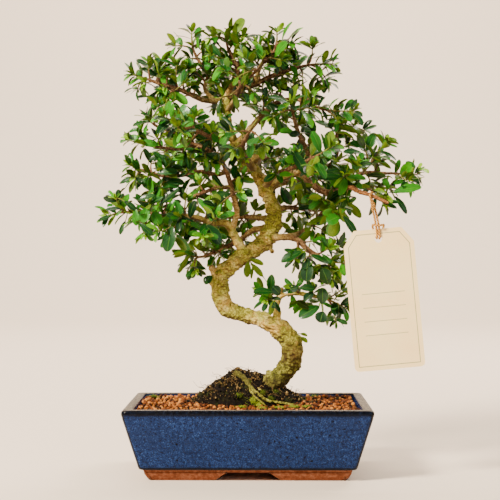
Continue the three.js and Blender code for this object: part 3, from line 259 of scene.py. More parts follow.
TWINE_ROUTE = (
    (99.8, -57.5, 224.3), (99.1, -57.6, 227.7), (98.8, -57.9, 230.2), (99.2, -58.9, 232),
    (98.9, -60.8, 232.7), (98.1, -62.6, 232), (97.3, -63.1, 230.1), (97.8, -63, 226.7),
    (99.2, -62.6, 219.7), (100.8, -62.1, 212.7), (102, -61.7, 206.2), (102.8, -61.5, 200.7),
    (103, -61.2, 197.3), (103, -59.9, 195.9), (102.4, -58.6, 197.3), (100.6, -58.4, 201.7),
    (99.6, -59, 205.3), (99.8, -61.2, 206.6), (101.4, -63.4, 206.4), (104, -63.8, 206.2),
    (106.6, -63.4, 206.4), (108.2, -61.2, 206.6), (108.4, -59, 205.3), (107.4, -58.4, 201.7),
    (105.6, -58.6, 197.3), (105, -59.9, 195.9), (105, -61.2, 197.3), (104.8, -61.5, 200.7),
    (104.2, -61.5, 206.7), (103, -60.8, 212.7), (101.6, -59, 219.7), (100.6, -57.6, 224.1),
)


def metres(points):
    """Points of the object in the frame: thousandths of the millimetres, moved to the pot's foot."""
    return np.asarray(points, float) * 0.001 + FOOT_MIDDLE


# Camera at the photograph's viewpoint
EYE = np.array([12.3, -1037.0, 184.7])
VIEW_TURN = math.radians(0.607)
VIEW_RISE = math.radians(0.112)
LENS = 88.27
FILM = 36.0
PHOTO_SIDE = 500
FOCAL = PHOTO_SIDE * LENS / FILM


def make_camera():
    """A level camera a metre in front of the pot, turned a little to the left and slightly up."""
    lens = bpy.data.cameras.new("camera")
    lens.sensor_width = FILM
    lens.lens = LENS
    lens.clip_end = 30.0
    camera = bpy.data.objects.new("camera", lens)
    camera.location = metres(EYE)
    camera.rotation_euler = (math.pi / 2 + VIEW_RISE, 0.0, VIEW_TURN)
    bpy.context.scene.collection.objects.link(camera)
    bpy.context.scene.camera = camera


make_camera()


def photo_place(column, row, depth):
    """The place at a depth that shows in this column and row of the photograph: on the camera's ray."""
    right = np.array([math.cos(VIEW_TURN), math.sin(VIEW_TURN), 0])
    level = np.array([-math.sin(VIEW_TURN), math.cos(VIEW_TURN), 0])
    ahead = level * math.cos(VIEW_RISE) + np.array([0, 0, math.sin(VIEW_RISE)])
    across, down = (column - PHOTO_SIDE / 2) / FOCAL, (row - PHOTO_SIDE / 2) / FOCAL
    ray = ahead + right * across - np.cross(right, ahead) * down
    return EYE + ray * (depth - EYE[1]) / ray[1]


# Shader maths
class Socket:
    """One value of a shader. Arithmetic on it adds Math nodes."""

    def __init__(self, finish, link):
        self.finish = finish
        self.link = link

    def apply(self, operation, *values):
        return self.finish.node("ShaderNodeMath", {"operation": operation}, dict(enumerate(values)))

    def __add__(self, other):
        return self.apply("ADD", self, other)

    def __radd__(self, other):
        return self.apply("ADD", other, self)

    def __sub__(self, other):
        return self.apply("SUBTRACT", self, other)

    def __rsub__(self, other):
        return self.apply("SUBTRACT", other, self)

    def __mul__(self, other):
        return self.apply("MULTIPLY", self, other)

    def __rmul__(self, other):
        return self.apply("MULTIPLY", other, self)

    def __truediv__(self, other):
        return self.apply("DIVIDE", self, other)

    def __rtruediv__(self, other):
        return self.apply("DIVIDE", other, self)

    def __pow__(self, other):
        return self.apply("POWER", self, other)

    def __neg__(self):
        return self.apply("MULTIPLY", self, -1.0)

    def most(self, other):
        return self.apply("MAXIMUM", self, other)

    def least(self, other):
        return self.apply("MINIMUM", self, other)

    def size(self):
        return self.apply("ABSOLUTE", self)

    def sine(self):
        return self.apply("SINE", self)

    def fraction(self):
        return self.apply("FRACT", self)

    def step(self, low, high):
        """0 below low, 1 above high, and a smooth rise between; low may be the larger."""
        settings = {"interpolation_type": "SMOOTHSTEP"}
        if low <= high:
            return self.finish.node("ShaderNodeMapRange", settings, {0: self, 1: low, 2: high})
        return self.finish.node("ShaderNodeMapRange", settings, {0: self, 1: high, 2: low, 3: 1.0, 4: 0.0})


def paint(code):
    """A colour as the shaders take it, from its web code."""
    shares = np.array([int(code[i:i + 2], 16) for i in (1, 3, 5)]) / 255
    linear = np.where(shares <= 0.04045, shares / 12.92, ((shares + 0.055) / 1.055) ** 2.4)
    return (*linear, 1.0)


class Finish:
    """A material whose nodes feed one Principled shader."""

    def __init__(self, name, **constants):
        self.material = bpy.data.materials.new(name)
        self.material.use_nodes = True
        self.tree = self.material.node_tree
        self.tree.nodes.clear()
        self.shader = self.tree.nodes.new("ShaderNodeBsdfPrincipled")
        output = self.tree.nodes.new("ShaderNodeOutputMaterial")
        self.tree.links.new(self.shader.outputs[0], output.inputs[0])
        for word, value in constants.items():
            self.shader.inputs[word.replace("_", " ")].default_value = value
        self.place = self.node("ShaderNodeVectorMath", {"operation": "MULTIPLY_ADD"},
            {0: self.node("ShaderNodeTexCoord", {}, {}, "Object"), 1: (1000.0, 1000.0, 1000.0),
                2: (-FOOT_MIDDLE * 1000).tolist()})

    def feed(self, target, value):
        if isinstance(value, Socket):
            self.tree.links.new(value.link, target)
        elif isinstance(value, str):
            target.default_value = paint(value)
        else:
            target.default_value = value

    def node(self, kind, settings, inputs, output=0):
        """A node of that type: its settings, then its sockets' values or links."""
        made = self.tree.nodes.new(kind)
        for word, value in settings.items():
            if word == "stops":
                for spare in list(made.color_ramp.elements)[1:]:
                    made.color_ramp.elements.remove(spare)
                made.color_ramp.elements[0].position = value[0][0]
                made.color_ramp.elements[0].color = paint(value[0][1])
                for position, code in value[1:]:
                    made.color_ramp.elements.new(position).color = paint(code)
            else:
                setattr(made, word, value)
        for word, value in inputs.items():
            self.feed(made.inputs[word], value)
        return Socket(self, made.outputs[output])

    def noise(self, size, detail=2.0, roughness=0.5, at=None):
        """Soft clouds about as wide as size, in millimetres; 0 to 1."""
        return self.node("ShaderNodeTexNoise", {}, {"Vector": at or self.place, "Scale": 1 / size,
            "Detail": detail, "Roughness": roughness})

    def cells(self, size, output="Distance", at=None, feature="F1"):
        return self.node("ShaderNodeTexVoronoi", {"feature": feature}, {"Vector": at or self.place,
            "Scale": 1 / size}, output)

    def ramp(self, value, *stops):
        return self.node("ShaderNodeValToRGB", {"stops": stops}, {0: value})

    def mix(self, share, first, second, blend="MIX"):
        return self.node("ShaderNodeMix", {"data_type": "RGBA", "blend_type": blend},
            {0: share, 6: first, 7: second}, 2)

    def mark(self, name):
        return self.node("ShaderNodeAttribute", {"attribute_name": name}, {}, "Fac")

    def axes(self, vector):
        return [self.node("ShaderNodeSeparateXYZ", {}, {0: vector}, axis) for axis in range(3)]

    def stretched(self, scale, turn=(0, 0, 0)):
        """The object's place, stretched by scale along its axes after a turn in degrees."""
        return self.node("ShaderNodeMapping", {}, {0: self.place, 2: [math.radians(a) for a in turn],
            3: scale})

    def bump(self, height, depth, under=None):
        """Relief whose full height is depth, in millimetres."""
        inputs = {"Height": height, "Strength": 1.0, "Distance": depth * 0.001}
        if under:
            inputs["Normal"] = under
        return self.node("ShaderNodeBump", {}, inputs)

    def done(self, **links):
        for word, value in links.items():
            self.feed(self.shader.inputs[word.replace("_", " ")], value)
        return self.material


# Finishes
def glaze_finish():
    """Blue glaze with fine flecks and pits, breaking to near black along the edges, over bare red clay with
    painted shade in the groove round the foot.
    """
    glaze = Finish("blue_glaze", Specular_IOR_Level=0.09, IOR=1.5, Coat_Roughness=0.05)
    wander = glaze.noise(9, 3)
    flecks = glaze.noise(0.8, 2, 0.6)
    grain = glaze.noise(2.6, 3, 0.7)
    clouds = glaze.noise(26, 3, 0.6)
    body = glaze.ramp(flecks * 0.6 + grain * 0.4, (0.38, "#060a1b"), (0.45, "#142349"), (0.56, "#1e3260"),
        (0.7, "#4062a0"))
    body = glaze.mix(clouds.step(0.35, 0.7) * 0.4, body, "#152345")
    pits = (glaze.cells(1.9) + glaze.noise(1.2) * 0.3).step(0.47, 0.34)
    pores = (glaze.cells(9) + glaze.noise(2.2) * 0.12).step(0.19, 0.12)
    body = glaze.mix(pits * 0.8, body, "#03060f")
    body = glaze.mix(pores * 0.95, body, "#010206")
    thin = glaze.mark("thin") + (wander - 0.5) * 0.5 + (grain - 0.5) * 0.6
    edge = thin.step(0.24, 0.8)
    dark = glaze.ramp(grain, (0.38, "#020307"), (0.54, "#060a16"), (0.7, "#101a2e"))
    body = glaze.mix(edge, body, dark)
    top = glaze.ramp(flecks * 0.5 + grain * 0.5, (0.38, "#111113"), (0.47, "#403c38"), (0.6, "#7a7264"))
    top = glaze.mix(pits * 0.9, top, "#0c0d12")
    body = glaze.mix(glaze.mark("rim"), body, top)
    clay = glaze.ramp(glaze.noise(3.5, 4, 0.65), (0.25, "#4c2614"), (0.5, "#7c462c"), (0.78, "#a16c4e"))
    clay = glaze.mix(glaze.noise(0.7, 2).step(0.55, 0.75) * 0.5, clay, "#5a2a17")
    clay = glaze.mix(glaze.mark("worn").step(0.3, 1.0) * 0.6, clay, "#c98c62")
    # painted shade: the recessed groove round the top of the foot is darkened
    clay = glaze.mix(glaze.mark("groove") * 0.8, clay, "#36140a")
    bare = glaze.mark("bare").step(0.4, 0.6)
    rough = 0.16 + clouds * 0.08 + flecks * 0.1 + pits * 0.3 + edge * 0.04 + glaze.mark("rim") * 0.16
    relief = wander * 0.5 + grain * 0.3 + flecks * 0.1 - pits * 0.45 - pores * 0.9
    matt = glaze.noise(0.5, 3, 0.7) * 0.5 + glaze.noise(2.5, 2) * 0.5
    both = relief * (1 - bare) + matt * bare
    return glaze.done(Base_Color=glaze.mix(bare, body, clay), Roughness=rough + bare * 0.62,
        Coat_Weight=(1 - bare) * thin.step(0.75, 1.1) * 0.14, Normal=glaze.bump(both, 0.28))


def bark_finish():
    """Tan bark with green algae, redder on the twigs, with dark cracks and specks, and painted shade on the
    undersides of the limbs.
    """
    bark = Finish("bark", Specular_IOR_Level=0.25)
    twig = bark.mark("youth")
    coarse = bark.noise(7, 4, 0.6)
    fine = bark.noise(1.5, 4, 0.65)
    height = bark.axes(bark.place)[2]
    base = bark.ramp(coarse * 0.6 + fine * 0.4, (0.3, "#4c3610"), (0.4, "#a58234"), (0.5, "#e6c162"),
        (0.62, "#fff0a2"))
    upward = bark.axes(bark.node("ShaderNodeNewGeometry", {}, {}, "Normal"))[2]
    low = height.step(122, 92)
    algae = bark.noise(17, 3, 0.6) + bark.mark("algae") * 0.42 + (fine - 0.5) * 0.4
    algae = algae + upward * 0.06 + low * 0.05
    green = bark.ramp(coarse * 0.4 + fine * 0.6, (0.32, "#2c3509"), (0.48, "#757f18"), (0.62, "#bcbb3c"))
    base = bark.mix(algae.step(0.5, 0.78) * 0.85, base, green)
    stem = bark.mark("algae").step(0.4, 0.5) * bark.mark("algae").step(0.7, 0.6)
    foot = height.step(98, 84) * stem
    # darker towards the foot of the trunk, in patches
    darker_low = low * (stem * 0.85 + 0.15) * (coarse.step(0.58, 0.44) * 0.4 + 0.62) * (1 - foot * 0.6)
    base = bark.mix(darker_low, base, "#3f2e10")
    moist = bark.ramp(fine * 0.6 + coarse * 0.4, (0.38, "#1d1c08"), (0.49, "#5a6219"), (0.6, "#aca648"))
    base = bark.mix(foot * 0.75, base, moist)
    soiled = (height + coarse * 12).step(90, 80) * stem
    base = bark.mix(soiled * 0.6, base, "#2e2310")
    root = bark.mark("algae").step(0.7, 0.8)
    buried = ((height + (coarse - 0.5) * 14).step(67, 76) * 0.7).most(fine.step(0.52, 0.42) * 0.6)
    base = bark.mix(root * buried, base, "#33300f")
    young = bark.ramp(coarse * 0.4 + fine * 0.6, (0.32, "#2a190d"), (0.48, "#6b4a2d"), (0.64, "#b08c62"))
    base = bark.mix(twig.step(0.1, 0.75), base, young)
    base = bark.mix(twig.step(1.1, 1.8), base, "#7d8a33")
    base = bark.mix(bark.mark("rust") * 0.75, base, bark.ramp(fine, (0.34, "#5e2f12"), (0.6, "#bd7a3e")))
    # painted shade: the limbs' downward-facing sides are darkened
    base = bark.mix(upward.step(-0.1, -0.8) * 0.8, base, "#3f2b12")
    cracks = bark.cells(2.4, at=bark.stretched((1, 1, 1.5)), feature="DISTANCE_TO_EDGE")
    cracks = (cracks + (fine - 0.5) * 0.2).step(0.12, 0.0)
    specks = (bark.cells(1.9) + fine * 0.35).step(0.38, 0.26)
    base = bark.mix(cracks * 0.4, base, "#3c2a12")
    base = bark.mix(specks * 0.62, base, "#33240e")
    relief = fine * 0.9 + bark.noise(0.55, 3, 0.6) * 0.5 - cracks * 0.4 - specks * 0.3
    return bark.done(Base_Color=base, Roughness=0.72 + fine * 0.2, Normal=bark.bump(relief, 0.8))


def leaf_finish():
    """Glossy leaf: deep green above with a pale midrib, olive below, yellow-green when young."""
    leaf = Finish("leaf", Specular_IOR_Level=0.22, IOR=1.45, Coat_Roughness=0.1, Subsurface_Weight=0.12,
        Subsurface_Radius=(0.6, 1.0, 0.25), Subsurface_Scale=0.001)
    tone, age, below = leaf.mark("tone"), leaf.mark("age"), leaf.mark("below")
    along, across, _ = leaf.axes(leaf.node("ShaderNodeUVMap", {"uv_map": "leaf"}, {}))
    blotch = leaf.noise(4.5, 3, 0.6)
    old = leaf.ramp(tone * 0.75 + blotch * 0.25, (0.12, "#03220e"), (0.36, "#09410e"), (0.64, "#1c660a"),
        (0.92, "#4a990b"))
    young = leaf.ramp(tone * 0.6 + blotch * 0.4, (0.2, "#5a980b"), (0.8, "#a3d018"))
    olive = leaf.ramp(tone * 0.5 + blotch * 0.5, (0.25, "#263604"), (0.75, "#62780f"))
    old = leaf.mix((tone * 7).fraction().step(0.78, 0.82) * 0.8, old, olive)
    top = leaf.mix(age.step(0.75, 0.25), old, young)
    under = leaf.ramp(tone * 0.6 + blotch * 0.4, (0.2, "#2d4605"), (0.8, "#6f8812"))
    under = leaf.mix(age.step(0.75, 0.25) * 0.6, under, "#86b01a")
    side = (across - 0.5).size()
    rib = side.step(0.05, 0.012)
    slant = (along * 46 - side * 30).sine().step(0.6, 1.0) * side.step(0.02, 0.1) * side.step(0.5, 0.4)
    top = leaf.mix(rib * 0.3, top, "#5f8f22")
    top = leaf.mix(slant * 0.06, top, "#3f7a18")
    colour = leaf.mix(below.step(0.3, 0.7), top, under)
    colour = leaf.mix(side.step(0.44, 0.5) * 0.2, colour, "#7a8f35")
    shine = 0.3 + blotch * 0.16 + below * 0.3
    relief = blotch * 0.6 - rib * 0.6 - slant * 0.25
    return leaf.done(Base_Color=colour, Roughness=shine, Coat_Weight=(1 - below) * 0.22,
        Normal=leaf.bump(relief, 0.3))


def soil_finish():
    """Near-black peat with brown crumbs and pale flecks."""
    soil = Finish("peat", Specular_IOR_Level=0.15)
    crumb = soil.noise(1.3, 4, 0.7)
    lump = soil.noise(6, 3, 0.6)
    tone = soil.mark("tone")
    colour = soil.ramp(crumb * 0.45 + lump * 0.1 + tone * 0.45, (0.3, "#030202"), (0.44, "#1a1209"),
        (0.58, "#5c4524"), (0.76, "#a08453"), (0.96, "#d2b57c"))
    flecks = (soil.cells(2.8) + crumb * 0.2).step(0.26, 0.18)
    colour = soil.mix(flecks * 0.45, colour, "#7c633c")
    film = soil.noise(11, 3, 0.6).step(0.52, 0.66)
    colour = soil.mix(film * 0.22, colour, "#4c5516")
    return soil.done(Base_Color=colour, Roughness=0.92 - crumb * 0.12, Normal=soil.bump(crumb + lump, 0.7))


def granule_finish():
    """Fired clay grains, each of its own orange to brown, dusty and pitted; grains low in the bed and the bed
    itself are painted near black as the shade between the grains.
    """
    clay = Finish("clay_grain", Specular_IOR_Level=0.2)
    tone = clay.mark("tone")
    grain = clay.noise(0.9, 4, 0.7)
    colour = clay.ramp(tone * 0.75 + grain * 0.25, (0.1, "#1f0d03"), (0.36, "#52270a"), (0.6, "#834614"),
        (0.9, "#c28038"))
    colour = clay.mix(grain.step(0.62, 0.8) * 0.3, colour, "#cf9c62")
    # painted shade: grains low in the bed, and the bed under them, darken towards near black
    colour = clay.mix(clay.mark("damp"), colour, "#160b05")
    algae = clay.noise(14, 2).step(0.62, 0.75) * clay.mark("algae")
    colour = clay.mix(algae * 0.6, colour, "#6f7a2c")
    return clay.done(Base_Color=colour, Roughness=0.85, Normal=clay.bump(grain, 0.35))


def moss_finish():
    """Bright moss, darker at the foot of each tuft."""
    moss = Finish("moss", Specular_IOR_Level=0.2)
    tone = moss.mark("tone") * 0.7 + moss.noise(1.2, 2) * 0.3
    colour = moss.ramp(tone, (0.15, "#26340a"), (0.45, "#566610"), (0.8, "#98a426"))
    return moss.done(Base_Color=colour, Roughness=0.8, Normal=moss.bump(moss.noise(0.6, 3), 0.3))


def card_finish():
    """Cream card with soft fibres, a thin printed border and ruled blank lines."""
    card = Finish("cream_card", Specular_IOR_Level=0.3)
    x, _, z = card.axes(card.place)
    c, s = math.cos(CARD_TILT), math.sin(CARD_TILT)
    across = (x - CARD_HOLE[0]) * c + (z - CARD_HOLE[2]) * s
    up = (z - CARD_HOLE[2]) * c - (x - CARD_HOLE[0]) * s
    front = card.axes(card.node("ShaderNodeNewGeometry", {}, {}, "Normal"))[1].step(-0.5, -0.9)
    half, low, high = CARD_SIZE[0] / 2, CARD_HOLE_DROP - CARD_SIZE[1], CARD_HOLE_DROP
    fibre = card.noise(1.1, 5, 0.7)
    cloud = card.noise(30, 2)
    colour = card.ramp(fibre * 0.5 + cloud * 0.5, (0.3, "#ffdb98"), (0.6, "#ffe9ae"))
    side = half - across.size()
    inset = side.least(up - low).least(high - up)
    cut = (high - up) * CARD_CHAMFER[0] / CARD_CHAMFER[1] + side - CARD_CHAMFER[0]
    inset = inset.least(cut * 0.8)
    border = (inset - 3.6).size().step(0.34, 0.2)
    rules = ((up + 4.5) / 11.0).fraction()
    line = (rules - 0.5).size().step(0.028, 0.014)
    within = side.step(10.9, 11.1) * (up + 82).step(0, 0.2) * (-34 - up).step(0, 0.2)
    ink = (border * 0.85).most(line * within * 0.7) * (0.75 + fibre * 0.5)
    colour = card.mix(ink * front, colour, "#5f7050")
    return card.done(Base_Color=colour, Roughness=0.78 + fibre * 0.1,
        Normal=card.bump(fibre + card.noise(0.5, 2) * 0.4, 0.07))


def twine_finish():
    """Tan jute with darker grooves between its plies and fine stray fibres."""
    jute = Finish("jute", Specular_IOR_Level=0.2)
    along, around, _ = jute.axes(jute.node("ShaderNodeUVMap", {"uv_map": "twist"}, {}))
    ply = ((along * 4.2 + around * 2) * (2 * math.pi)).sine()
    strands = jute.noise(0.35, 3, 0.7)
    colour = jute.ramp(ply * 0.22 + strands * 0.6 + 0.1, (0.2, "#7a4a16"), (0.45, "#c58a3c"), (0.7, "#e6b866"))
    return jute.done(Base_Color=colour, Roughness=0.85, Normal=jute.bump(ply * 0.5 + strands, 0.14))


def screen_finish():
    """Green-black moulded plastic with a fine texture."""
    plastic = Finish("screen_plastic", Specular_IOR_Level=0.4)
    grain = plastic.noise(0.8, 3)
    colour = plastic.ramp(grain, (0.3, "#10170f"), (0.7, "#1d281b"))
    return plastic.done(Base_Color=colour, Roughness=0.5 + grain * 0.2, Normal=plastic.bump(grain, 0.06))


# Mesh building
def piece(name, parts, finish, stands_for, mapped=None, crease=None):
    """One mesh from parts (points, faces, marks, uv), in millimetres; it rides on the root body."""
    offset, all_points, all_faces, all_uv, all_marks = 0, [], [], [], {}
    for points, faces, marks, uv in parts:
        all_points.append(points)
        all_faces += [block + offset for block in faces]
        if mapped:
            all_uv.append(uv)
        for word, values in marks.items():
            all_marks.setdefault(word, []).append(np.broadcast_to(values, len(points)))
        offset += len(points)
    points = np.concatenate(all_points)
    corners = np.concatenate([block.ravel() for block in all_faces])
    sizes = np.concatenate([np.full(len(block), block.shape[1]) for block in all_faces])
    mesh = bpy.data.meshes.new(name)
    mesh.vertices.add(len(points))
    mesh.vertices.foreach_set("co", metres(points).ravel())
    mesh.loops.add(len(corners))
    mesh.loops.foreach_set("vertex_index", corners.astype(np.int32))
    mesh.polygons.add(len(sizes))
    mesh.polygons.foreach_set("loop_start", np.concatenate([[0], np.cumsum(sizes)[:-1]]).astype(np.int32))
    mesh.update(calc_edges=True)
    mesh.polygons.foreach_set("use_smooth", np.ones(len(sizes), bool))
    if mapped:
        layer = mesh.uv_layers.new(name=mapped)
        layer.data.foreach_set("uv", np.concatenate(all_uv)[corners].astype(np.float32).ravel())
    for word, values in all_marks.items():
        mark = mesh.attributes.new(word, "FLOAT", "POINT")
        mark.data.foreach_set("value", np.concatenate(values).astype(np.float32))
    mesh.validate()
    if crease:
        mesh.set_sharp_from_angle(angle=math.radians(crease))
    made = bpy.data.objects.new(name, mesh)
    bpy.context.scene.collection.objects.link(made)
    made.data.materials.append(finish)
    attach(made, "root")
    if stands_for:
        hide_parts(*stands_for)
    return made


def grid_faces(rows, columns, around=True):
    """Quads of a grid of rows, each a ring or an open strip of columns."""
    row, column = np.meshgrid(np.arange(rows - 1), np.arange(columns if around else columns - 1), indexing="ij")
    here, beside = row * columns + column, row * columns + (column + 1) % columns
    return np.stack([here, beside, beside + columns, here + columns], -1).reshape(-1, 4)


def tube_faces(rows, columns):
    """A tube's quads, and the fans that close it to a first and a last pole added after the rings."""
    column = np.arange(columns)
    beside = (column + 1) % columns
    last = (rows - 1) * columns
    first_pole, last_pole = rows * columns, rows * columns + 1
    start = np.stack([np.full(columns, first_pole), beside, column], -1)
    end = np.stack([np.full(columns, last_pole), last + column, last + beside], -1)
    return [grid_faces(rows, columns), start, end]


def copied(faces, count, size):
    """The faces of one small shape, repeated for count copies of size points each."""
    shift = (np.arange(count) * size)[:, None, None]
    return [(block[None] + shift).reshape(-1, block.shape[1]) for block in faces]


def lattice(cell, seed):
    """A random number from 0 to 1 for each cell of a lattice."""
    mixed = (cell[..., 0] * 73856093) ^ (cell[..., 1] * 19349663)
    mixed = mixed ^ (cell[..., 2] * 83492791) ^ (seed * 26544357)
    mixed = (mixed & 0xFFFFFFFF) * 2246822519 & 0xFFFFFFFF
    mixed = ((mixed ^ (mixed >> 15)) * 3266489917) & 0xFFFFFFFF
    return ((mixed ^ (mixed >> 13)) & 0xFFFFFF) / 0xFFFFFF


def lumps(points, size, seed):
    """Smooth lumps about as wide as size, from -1 to 1: lattice numbers blended over each cell."""
    scaled = np.asarray(points, float) / size
    cell = np.floor(scaled).astype(np.int64)
    share = scaled - cell
    share = share * share * (3 - 2 * share)
    total = 0.0
    for corner in np.ndindex(2, 2, 2):
        weight = np.prod(np.where(corner, share, 1 - share), axis=-1)
        total = total + weight * lattice(cell + np.array(corner), seed)
    return total * 2 - 1


def unit(vectors):
    return vectors / np.maximum(np.linalg.norm(vectors, axis=-1, keepdims=True), 1e-9)


def route(points, steps):
    """A centripetal Catmull-Rom curve through points, at steps + 1 places; further columns go along."""
    points = np.asarray(points, float)
    padded = np.vstack([2 * points[0] - points[1], points, 2 * points[-1] - points[-2]])
    gaps = np.maximum(np.linalg.norm(np.diff(padded[:, :3], axis=0), axis=1), 1e-6) ** 0.5
    where = np.linspace(0, len(points) - 1, steps + 1)
    segment = np.minimum(where.astype(int), len(points) - 2)
    share = (where - segment)[:, None]
    before, start, end, after = (padded[segment + k] for k in range(4))
    gap0, gap1, gap2 = (gaps[segment + k][:, None] for k in range(3))
    leave = gap1 * ((start - before) / gap0 - (end - before) / (gap0 + gap1) + (end - start) / gap1)
    arrive = gap1 * ((end - start) / gap1 - (after - start) / (gap1 + gap2) + (after - end) / gap2)
    square, cube = share ** 2, share ** 3
    return ((2 * cube - 3 * square + 1) * start + (cube - 2 * square + share) * leave
        + (3 * square - 2 * cube) * end + (cube - square) * arrive)


def frames(line):
    """Tangents of a line of points, and a normal carried along it without twist."""
    tangent = unit(np.gradient(line, axis=0))
    normal = np.empty_like(line)
    seed = np.array([0.13, 0.97, 0.21])
    for i, way in enumerate(tangent):
        seed = seed - way * (seed @ way)
        seed = seed / np.linalg.norm(seed)
        normal[i] = seed
    return tangent, normal, np.cross(tangent, normal)


def limb(points, steps, columns, relief=None, youth=(0.0, 0.0), rounded=True, **marks):
    """Rings round a curved centre line, r * (cos a * normal + sin a * across), pushed out by relief."""
    path = route(points, steps)
    line, radius = path[:, :3], path[:, 3]
    distance = np.concatenate([[0], np.cumsum(np.linalg.norm(np.diff(line, axis=0), axis=1))])
    tangent, normal, across = frames(line)
    if rounded:
        last = len(path) - 1
        for turn in (0.45, 0.9, 1.3):
            line = np.vstack([line, path[last, :3] + tangent[last] * radius[last] * math.sin(turn)])
            radius = np.append(radius, radius[last] * math.cos(turn))
            distance = np.append(distance, distance[last] + radius[last] * math.sin(turn))
        tangent, normal, across = (np.vstack([v, np.repeat(v[-1:], 3, 0)]) for v in (tangent, normal, across))
    angle = np.linspace(0, 2 * math.pi, columns, endpoint=False)
    out = normal[:, None] * np.cos(angle)[None, :, None] + across[:, None] * np.sin(angle)[None, :, None]
    rings = line[:, None] + out * radius[:, None, None]
    if relief:
        rings = rings + out * relief(rings, angle[None], distance[:, None], radius[:, None])[..., None]
    rows = len(line)
    skin = np.vstack([rings.reshape(-1, 3), line[:1], line[-1:] + tangent[-1:] * radius[-1] * 0.4])
    share = distance / distance[-1]
    age = np.append(np.repeat(youth[0] + (youth[1] - youth[0]) * share, columns), youth)
    return skin, tube_faces(rows, columns), {"youth": age, **marks}, None


# Tree
def trunk_relief(points, angle, distance, radius):
    """Knobs, wrinkles across the trunk and fine bumps."""
    wrap = np.stack([np.cos(angle) * radius * 0.5 + 0 * distance, np.sin(angle) * radius * 0.5 + 0 * distance,
        distance + 0 * angle], -1)
    wrinkles = lumps(wrap * (0.55, 0.55, 1.0), 3.1, 5)
    knobs = np.clip(lumps(points, 4.4, 6) - 0.25, 0, 1)
    return (0.8 * lumps(points, 6.5, 1) + 0.9 * np.abs(wrinkles) + 2.3 * knobs + 0.7 * lumps(points, 2.3, 2)
        + 0.6 * lumps(points, 1.15, 3) - 0.5) * np.minimum(radius / 5, 1.15)


def branch_relief(points, angle, distance, radius):
    """Swellings at the old leaf places along a branch, and rough bark."""
    beat = 8.5
    swell = np.exp(-((distance % beat - beat / 2) / 1.2) ** 2)
    swell = swell * (0.5 + 0.5 * np.cos(angle + distance // beat * 2.1))
    return radius * (0.24 * swell + 0.12 * lumps(points, 2.6, 11) + 0.08 * lumps(points, 1.2, 12))


def limb_length(points):
    return np.linalg.norm(np.diff(np.asarray(points)[:, :3], axis=0), axis=1).sum()


def make_wood():
    """Trunk, surface roots, branches and pruning stubs."""
    bark = bark_finish()
    trunk = limb(TRUNK, 520, 92, trunk_relief, algae=0.55)
    roots = [limb(points, int(limb_length(points) / 0.8), 26, root_relief, youth=(0.0, 0.1),
        algae={"fork": 1.3, "crest": 0.9}.get(name, 0.35)) for name, points in ROOTS.items()]
    piece("trunk_and_roots", [trunk, *roots], bark, ["tree"])
    parts = []
    for name, points in BRANCHES.items():
        tone = {"low_right": (0.0, 0.35), "left_low": (0.0, 0.9), "hook": (0.7, 0.9)}.get(name, (0.35, 1.0))
        parts.append(limb(points, int(limb_length(points) / 1.1), 18, branch_relief, youth=tone,
            algae=0.5 if name in ("low_right", "left_low") else 0.2, rust=0.9 if name == "hook" else 0.0))
    for points in KNOBS.values():
        parts.append(limb(points, 14, 22, branch_relief, youth=(0.1, 0.5), algae=0.2, rust=0.0))
    piece("branches", parts, bark, ["tree"])


def root_relief(points, angle, distance, radius):
    return radius * (0.22 * lumps(points, 3.4, 21) + 0.18 * lumps(points, 1.3, 22))


# Foliage
HEART = np.array([-2.0, 0.0, 241.0])
BARE_LIMBS = (
    # stretches of branch that the leaves leave open to the front
    ("top_up", 0, 4), ("top_right", 0, 4), ("top_right_up", 0, 3), ("top_left", 0, 6), ("top_left_up", 0, 2),
    ("mid_right", 0, 3), ("left_mid", 2, 6), ("right_up", 1, 4), ("left_mid_low", 2, 3), ("left_low", 2, 6),
    ("left_down", 0, 2), ("left_up", 3, 4), ("left_up_high", 2, 3), ("right_main", 2, 4), ("right_low", 0, 4),
    ("right_far", 1, 2), ("hook", 2, 4),
)
TWIG_LOWEST = 112.0
TWIG_START = 0.33
LATE_TWIGS = {"low_right": 0.6, "right_low": 0.55, "left_back": 0.5}
# spacing of the twigs along a branch, and the longest of them
CROWN_TWIGS = (3.0, 27.0)
LOWER_TWIGS = (5.9, 22.0)
SHORTEST_TWIG = 7.0
TWIG_SEEDS = 400
GOLDEN_ANGLE = math.pi * (3 - math.sqrt(5))
TAG_SIDE = 86.0
BROAD_FRONT = {"by the tag": -50.0, "elsewhere": -76.0}
LEAF_ROWS = np.array([0.0, 0.08, 0.26, 0.48, 0.7, 0.87, 0.965, 1.0])
LEAF_COLUMNS = 6
LEAF_THICKNESS = 0.32
chance = np.random.default_rng(11)


def region_of(branch):
    if branch.startswith("top"):
        return "crown"
    if branch.startswith("left"):
        return "low_left" if branch in ("left_low", "left_back", "left_mid", "left_down") else "left"
    if branch.startswith(("front", "back", "trunk")):
        return "middle"
    return "low_right" if branch in ("low_right", "right_low", "right_mid", "right_main", "hook") else "right"


